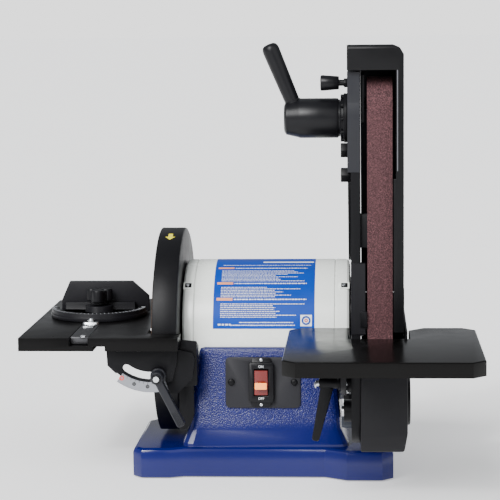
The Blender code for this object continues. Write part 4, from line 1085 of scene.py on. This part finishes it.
@dataclass
class MiterGauge:
    """The sliding miter gauge."""

    shop: Shop
    pivot: Point = (-302.5, 8.0)
    top: float = 159.3

    def build(self) -> None:
        """Build the bar, the protractor, its fence and knob."""
        shop = self.shop
        px, py = self.pivot
        shop.refine("miter_bar", "dark_steel", 0.5, 2)
        shop.refine("protractor_head", "dark_cast", 0.7, 2)
        shop.refine("miter_fence", "dark_cast", 0.9, 3)
        shop.refine("miter_pointer", "zinc", 0.3, 2)
        ticks: list[BMesh] = []
        for i in range(37):
            turn = -90.0 + 5.0 * i
            long = 5.0 if i % 3 == 0 else 3.2
            tick = shop.block(oblong(px - 0.3, py - 53.2, px + 0.3, py - 53.2 + long), Axis.Z, self.top + 9.5,
                              self.top + 9.75)
            ticks.append(shop.turn(tick, turn, Axis.Z, (px, py, 0)))
        shop.put(shop.merged(*ticks), "protractor_ticks", "grey_ink", "protractor_head")
        self.build_knob()
        tongue = shop.block(oblong(px - 3.0, -57.0, px + 3.0, -42.5, 1.0, 3), Axis.Z, self.top + 2.5,
                            self.top + 4.1, 0.3, 2)
        screw = shop.cross_screw(Axis.Z, (px, -54.5), self.top + 4.1, 2.0, 3.2)
        shop.put(shop.merged(tongue, screw), "pointer_tongue", "zinc", "miter_bar")
        tip = shop.block(oblong(px - 6.2, -81.0, px + 6.2, -62.0, 1.5, 3), Axis.Z, self.top - 0.15,
                         self.top + 1.2, 0.3, 2)
        shop.put(tip, "bar_plate", "zinc", "miter_bar")
        stop = shop.turned([(0, self.top - 0.1), (3.4, self.top - 0.1), (3.0, self.top + 1.6), (0, self.top + 2.0)],
                           Axis.Z, (px + 4.0, -138.0), 40)
        shop.put(stop, "bar_stop_screw", "zinc", "miter_bar")

    def build_knob(self) -> None:
        """Build the lobed lock knob."""
        shop = self.shop
        z = self.top + 12.0
        core = shop.turned([(4.4, z), (8.6, z), (9.4, z + 1.0), (9.4, z + 15.0), (8.6, z + 16.4),
                            (6.4, z + 17.0), (4.4, z + 17.0)],
                           Axis.Z, self.pivot, 64, True)
        parts = [core]
        for i in range(3):
            turn = radians(30 + 120 * i)
            spot = (self.pivot[0] + 9.5 * cos(turn), self.pivot[1] + 9.5 * sin(turn))
            parts.append(shop.turned([(0, z + 4), (5.6, z + 4), (6.5, z + 5), (6.5, z + 16), (5.9, z + 17.6),
                                      (4.2, z + 18.4),
                                      (0, z + 18.5)], Axis.Z, spot, 40))
        shop.stand_in(shop.merged(*parts), "miter_knob", "black_plastic")


@dataclass
class BeltArm:
    """The arm, its wheels, the belt and the tension parts."""

    shop: Shop
    hub: Point = (-175.0, 391.0)
    idler_y: float = -182.5
    low_z: float = 90.0
    belt_x: float = 15.0

    def wheel(self, node: str, centre: Point, radius: float, bore: float, hub: float) -> None:
        """Build one crowned wheel.

        Args:
            node: The frame node it stands for.
            centre: Its axis, in Y and Z.
            radius: Its outer radius.
            bore: Its bore's radius.
            hub: Its hub's radius.
        """
        low, high = self.belt_x - 12.5, self.belt_x + 12.5
        rim, d = radius - 5.0, 6.0
        profile = [(bore, low), (hub - 0.6, low), (hub, low + 0.6), (hub + 1, low + d), (rim, low + d),
                   (rim + 1, low + 0.5),
                   (rim + 1.5, low), (radius - 0.8, low), (radius - 0.2, low + 0.5), (radius, low + 3), (radius,
                                                                                                         high - 3),
                   (radius - 0.2, high - 0.5), (radius - 0.8, high), (rim + 1.5, high), (rim + 1, high - 0.5),
                   (rim, high - d), (hub + 1, high - d), (hub, high - 0.6), (hub - 0.6, high), (bore, high)]
        self.shop.stand_in(self.shop.turned(profile, Axis.X, centre, 96, True), node, "turned")

    def build(self) -> None:
        """Build the arm's pieces."""
        shop = self.shop
        shop.refine("arm_casting", "black_cast", 0.9, 2)
        low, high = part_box("top_idler")
        top_z = ((low + high) / 2 - shop.shift).z / MM
        self.wheel("top_idler", (self.idler_y, top_z), IDLER_RADIUS, 6.3, 11.0)
        self.wheel("bottom_idler", (self.idler_y, self.low_z), IDLER_RADIUS, 6.3, 11.0)
        self.wheel("drive_wheel", MOTOR_AXIS, DRIVE_RADIUS, 8.3, 18.0)
        for node, finish in (("bottom_axle", "turned"), ("tension_carriage", "black_cast"), ("platen", "black_cast")):
            shop.refine(node, finish, 0.4)
        self.build_belt(top_z)
        self.build_lever()
        self.build_tracking()
        for i, z in enumerate((359.0, 334.0)):
            seat = -17.3 if z > 338 else -13.9
            shop.put(shop.bolt(Axis.X, (-186.0, z), seat, -24.1 - seat, 14.0, 0.0), f"arm_bolt_{i}", "black_cast",
                     "arm_casting")
        self.build_faces()

    def build_faces(self) -> None:
        """Build the lighter faces on the front of the arm; the boss face's lighter grey is painted light on the lit
        flat front face.
        """
        shop, front = self.shop, -211.4
        swell = arc((front + 92.1, 388.7), 94.3, 192.4, 167.6, 20)
        outline = [(front + 0.6, 338.4), (front, 338.4), *swell, (front, 438.2), (front + 0.6, 438.2)]
        # The boss face's grey, lighter than the black arm, is painted light: the flat front face drawn as if lit more
        # strongly.
        shop.put(shop.block(outline, Axis.X, -17.2, -4.7, 0.12, 1), "arm_boss_face", "grey_cast", "arm_casting")
        strip = shop.block(oblong(-14.0, 174.6, 0.2, 246.4, 0.6, 3), Axis.Y, front, -210.8, 0.1, 1)
        shop.put(strip, "arm_lower_face", "dark_cast", "arm_casting")
        stop = shop.block(oblong(-5.0, 182.0, 2.0, 198.0, 0.8, 3), Axis.Y, -213.2, front + 0.1, 0.4, 2)
        shop.put(stop, "arm_belt_stop", "black_cast", "arm_casting")
        web = shop.block(oblong(-23.6, 60.0, -14.2, 128.0, 2.0, 4), Axis.Y, -84.0, -62.0, 1.0, 2)
        shop.put(web, "arm_mount_web", "black_cast", "arm_casting")
        lug = shop.turned([(0, -23.0), (7.2, -23.0), (8.0, -22.2), (8.0, -14.3), (0, -14.3)], Axis.X,
                          (-150.0, 84.0), 48)
        shop.put(lug, "arm_lug", "grey_cast", "arm_casting")
        shop.put(shop.bolt(Axis.X, (-150.0, 106.0), -13.9, -9.0, 10.0, 0.0), "arm_low_bolt", "zinc", "arm_casting")

    def build_belt(self, top_z: float) -> None:
        """Build the belt as one loop round the three wheels.

        Args:
            top_z: Height of the top wheel's axis.
        """
        shop = self.shop
        circles = ((self.idler_y, top_z, IDLER_RADIUS), (self.idler_y, self.low_z, IDLER_RADIUS),
                   (*MOTOR_AXIS, DRIVE_RADIUS))
        bm = bmesh.new()
        for y, z, r in circles:
            made = bmesh.ops.create_circle(bm, cap_ends=False, segments=120, radius=(r + 0.55))["verts"]
            bmesh.ops.rotate(bm, verts=made, cent=(0, 0, 0), matrix=Matrix.Rotation(pi / 2, 3, "Y"))
            bmesh.ops.translate(bm, verts=made, vec=(self.belt_x - BELT_WIDE / 2, y, z))
        for edge in list(bm.edges):
            bm.edges.remove(edge)
        order = self.round_order([v.co.yz for v in bm.verts])
        verts = list(bm.verts)
        kept = [verts[i] for i in order]
        on_outline = set(kept)
        for v in verts:
            if v not in on_outline:
                bm.verts.remove(v)
        edges = [bm.edges.new((kept[i], kept[(i + 1) % len(kept)])) for i in range(len(kept))]
        edges = bmesh.ops.subdivide_edges(bm, edges=[e for e in edges if e.calc_length() > 20], cuts=12)
        raised = bmesh.ops.extrude_edge_only(bm, edges=bm.edges[:])["geom"]
        bmesh.ops.translate(bm, verts=[v for v in raised if isinstance(v, bmesh.types.BMVert)], vec=(BELT_WIDE, 0, 0))
        bmesh.ops.recalc_face_normals(bm, faces=bm.faces)
        centre = Vector((self.belt_x, -120.0, 220.0))
        first = max(bm.faces, key=lambda f: f.calc_area())
        if first.normal.dot(first.calc_center_median() - centre) < 0:
            bmesh.ops.reverse_faces(bm, faces=bm.faces)
        bmesh.ops.solidify(bm, geom=bm.faces[:], thickness=-0.8)
        bmesh.ops.recalc_face_normals(bm, faces=bm.faces)
        shop.stand_in(bm, "abrasive_belt", "belt_grit")

    @staticmethod
    def round_order(points: list[Vector]) -> list[int]:
        """Return the indices of the points on the convex outline, in order.

        Args:
            points: The points.

        Returns:
            Their indices, in order.
        """
        order = sorted(range(len(points)), key=lambda i: (points[i].x, points[i].y))
        ring: list[int] = []
        for run in (order, order[::-1]):
            half: list[int] = []
            for i in run:
                while len(half) > 1:
                    a, b = points[half[-2]], points[half[-1]]
                    if (b.x - a.x) * (points[i].y - a.y) - (b.y - a.y) * (points[i].x - a.x) > 1e-7:
                        break
                    half.pop()
                half.append(i)
            ring += half[:-1]
        return ring

    def build_lever(self) -> None:
        """Build the tension lever, its hub and the flange behind it."""
        shop, hub = self.shop, self.hub
        r = 20.2
        barrel = shop.turned([(0, -81.5), (12.6, -81.5), (14.6, -80.9), (16.6, -79.2), (r - 0.7, -67.2), (r, -65.2),
                              (r, -27.4), (r - 0.5, -26.6), (r - 1.4, -26.2), (r - 1.4, -24.7), (7.0,
                                                                                                 -24.7), (7.0,
                                                                                                          -6.0),
                              (0, -6.0)], Axis.X, hub, 96)
        profile = [(0, 4.0), (6.9, 4.0), (7.3, 14.6), (8.5, 15.4), (8.6, 18.4), (7.6, 19.6), (8.7, 73.0), (8.4, 76.6),
                   (7.2, 79.2), (4.8, 80.8), (0, 81.2)]
        grip = shop.turned(profile, Axis.Z, (0.0, 0.0), 72)
        bmesh.ops.rotate(grip, verts=grip.verts, cent=(0, 0, 0), matrix=Matrix.Rotation(-atan2(24.4, 59.2), 3, "Y"))
        moved(grip, (-66.0, *hub))
        shop.stand_in(shop.merged(barrel, grip), "tension_lever", "black_plastic")
        flange = shop.turned([(7.4, -17.7), (24.6, -17.7), (25.0, -18.2), (25.0, -20.6), (24.4, -21.2), (21.4, -21.2),
                              (21.2, -21.6), (21.2, -23.9), (20.7, -24.4), (7.4, -24.4)], Axis.X, hub, 96, True)
        shop.stand_in(flange, "tension_flange", "black_cast")
        for i in range(10):
            turn = radians(36 * i)
            lug = shop.turned([(0, -24.2), (1.5, -24.2), (1.9, -23.8), (1.9, -21.2), (0, -21.2)], Axis.X,
                              (hub[0] + 22.9 * cos(turn), hub[1] + 22.9 * sin(turn)), 20)
            shop.put(lug, f"flange_lug_{i}", "black_cast", "tension_flange")

    def build_tracking(self) -> None:
        """Build the tracking knob with its jam nut."""
        shop = self.shop
        centre = (self.hub[0], 426.5)
        knob = shop.turned([(0, -44.7), (6.6, -44.7), (7.6, -44.2), (8.05, -43.2), (6.75, -26.6), (6.2, -25.8),
                            (3.2, -25.6),
                            (3.2, -5.6), (0, -5.6)], Axis.X, centre, 96)
        shop.stand_in(knob, "tracking_knob", "black_plastic")
        nut = shop.bolt(Axis.X, centre, -17.5, -3.4, 9.0, 0.0)
        shop.put(nut, "tracking_nut", "black_cast", "arm_casting")


@dataclass
class Covers:
    """The upper cover with its cap, the lower housing, knobs and the dust spout."""

    shop: Shop

    def build(self) -> None:
        """Build and dress the covers."""
        shop = self.shop
        shop.refine("upper_cover", "black_sheet", 1.1, 3)
        shop.refine("lower_cover", "dark_cast", 1.1, 3)
        # A thin pale grey strip on the cover's inner edge is a painted highlight, standing for the light that edge
        # catches.
        highlight_strip = shop.block(oblong(32.0, 340.0, 33.0, 440.0, 0.4, 3), Axis.Y, -218.5, -217.9, 0.12, 2)
        shop.put(highlight_strip, "cover_bead", "edge_grey", "upper_cover")
        for name, node, low, high in (("upper", "upper_cover", 179.0, 439.0), ("lower", "lower_cover", 60.0, 132.0)):
            seal = shop.block(oblong(-4.96, low, -4.42, high), Axis.Y, -209.5, -204.0)
            shop.put(seal, f"cover_seal_{name}", "black_cast", node)
        x = 39.1
        knob = shop.turned([(0, x), (12.6, x), (13.6, x + 0.7), (13.6, x + 1.4), (12.8, x + 2.0),
                            (8.0, x + 2.0), (7.4, x + 1.5),
                            (0, x + 1.5)], Axis.X, (-120.0, 196.0), 64)
        shop.stand_in(knob, "cover_knob_upper", "black_plastic")
        x = 43.1
        plate = shop.turned([(0, x), (24.6, x), (25.5, x + 0.7), (25.5, x + 3.0), (24.4, x + 3.9),
                             (18.0, x + 3.9), (17.4, x + 3.2),
                             (0, x + 3.2)], Axis.X, (-140.0, 92.0), 96)
        shop.stand_in(plate, "cover_knob_lower", "black_plastic")
        spout = shop.turned([(7.6, -14.3), (9.6, -14.3), (9.6, -21.6), (9.3, -23.4), (8.6, -24.6),
                             (7.6, -25.0)], Axis.X,
                            (-139.0, 72.0), 64, True)
        shop.stand_in(spout, "dust_port", "grey_plastic")


@dataclass
class BeltTable:
    """The slotted belt table, its trunnion and its lock lever."""

    shop: Shop
    stud: Point = (-202.0, 121.0)

    def build(self) -> None:
        """Build and dress the table."""
        shop = self.shop
        shop.refine("belt_table", "table_black", 1.0, 3)
        shop.refine("belt_trunnion", "black_cast", 0.6, 2)
        shop.refine("belt_lock_lever", "black_cast", 0.6, 2)
        shop.dress("belt_lock_stud", "zinc")
        head = shop.cross_screw(Axis.X, self.stud, -50.0, -1.8, 3.6)
        shop.put(head, "belt_lever_screw", "zinc", "belt_lock_lever")


@dataclass
class Studio:
    """The pale floor, the soft lights and the camera."""

    shop: Shop
    eye: Place = (0.0, -2003.0, 483.0)
    look: Place = (-113.9, 1767.0, -219.2)
    roll: float = -0.6
    lens: float = 129.4
    ambient: float = 0.45
    backdrop: float = 1.9
    floor_glow: float = 0.35

    def sun(self, name: str, way: Place, soft: float, strength: float) -> None:
        """Add one soft distant light.

        Args:
            name: The light's name.
            way: The direction it shines in.
            soft: Its apparent width in degrees.
            strength: Its strength.
        """
        lamp = bpy.data.lights.new(name, "SUN")
        lamp.angle, lamp.energy = radians(soft), strength
        holder = shown(name, lamp)
        holder.location = -Vector(way) * 2.0
        holder.rotation_euler = Vector(way).to_track_quat("-Z", "Y").to_euler()

    def build_world(self) -> None:
        """Make the surroundings dim for the lighting and pale to the camera."""
        world = bpy.data.worlds.new("studio")
        bpy.context.scene.world = world
        world.use_nodes = True
        tree = world.node_tree
        dim = tree.nodes["Background"]
        dim.inputs["Color"].default_value = (0.93, 0.96, 1.0, 1.0)
        dim.inputs["Strength"].default_value = self.ambient
        pale = tree.nodes.new("ShaderNodeBackground")
        pale.inputs["Color"].default_value = (1.0, 1.0, 1.0, 1.0)
        pale.inputs["Strength"].default_value = self.backdrop
        rays = tree.nodes.new("ShaderNodeLightPath")
        either = tree.nodes.new("ShaderNodeMixShader")
        tree.links.new(rays.outputs["Is Camera Ray"], either.inputs["Fac"])
        tree.links.new(dim.outputs["Background"], either.inputs[1])
        tree.links.new(pale.outputs["Background"], either.inputs[2])
        tree.links.new(either.outputs["Shader"], tree.nodes["World Output"].inputs["Surface"])

    def build(self) -> None:
        """Build the studio."""
        floor = bmesh.new()
        bmesh.ops.create_grid(floor, x_segments=1, y_segments=1, size=90.0)
        mesh = bpy.data.meshes.new("floor")
        floor.to_mesh(mesh)
        floor.free()
        nodes = Nodes("floor_pale")
        nodes.plain(0.6, 0.0, 0.0, 0.2)
        nodes.shader.inputs["Emission Color"].default_value = (1.0, 1.0, 1.0, 1.0)
        nodes.shader.inputs["Emission Strength"].default_value = self.floor_glow
        nodes.drive("Base Color", nodes.blend(nodes.noise(3.0), (0.93, 0.93, 0.93), (0.96, 0.96, 0.96)))
        mesh.materials.append(nodes.material)
        ground = shown("floor", mesh)
        self.build_world()
        self.sun("key", (0.55, 1.0, -0.9), 38.0, 5.0)
        self.sun("fill", (-0.9, 0.9, -0.7), 60.0, 1.1)
        self.sun("sparkle", (0.35, 1.0, -0.8), 4.0, 0.9)
        camera = bpy.data.cameras.new("camera")
        camera.lens, camera.sensor_width = self.lens, 36.0
        camera.clip_end = 400.0
        holder = shown("camera", camera)
        holder.location = self.shop.shift + Vector(self.eye) * MM
        turn = Vector(self.look).to_track_quat("-Z", "Y").to_matrix() @ Matrix.Rotation(radians(self.roll), 3, "Z")
        holder.rotation_euler = turn.to_euler()
        bpy.context.scene.camera = holder


def main() -> None:
    """Build every sub-assembly in order and report the pieces."""
    logging.basicConfig(level=logging.INFO, format="%(message)s")
    shop = Shop(Finishes())
    assemblies = [BaseStand(shop), SwitchBox(shop), Motor(shop), DiscUnit(shop), DiscTable(shop), MiterGauge(shop),
                  BeltArm(shop), Covers(shop), BeltTable(shop), Studio(shop)]
    for assembly in assemblies:
        assembly.build()
        LOG.info("built %s", type(assembly).__name__)
    LOG.info("%d pieces", shop.count)


if __name__ == "__main__":
    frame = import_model()
    main()
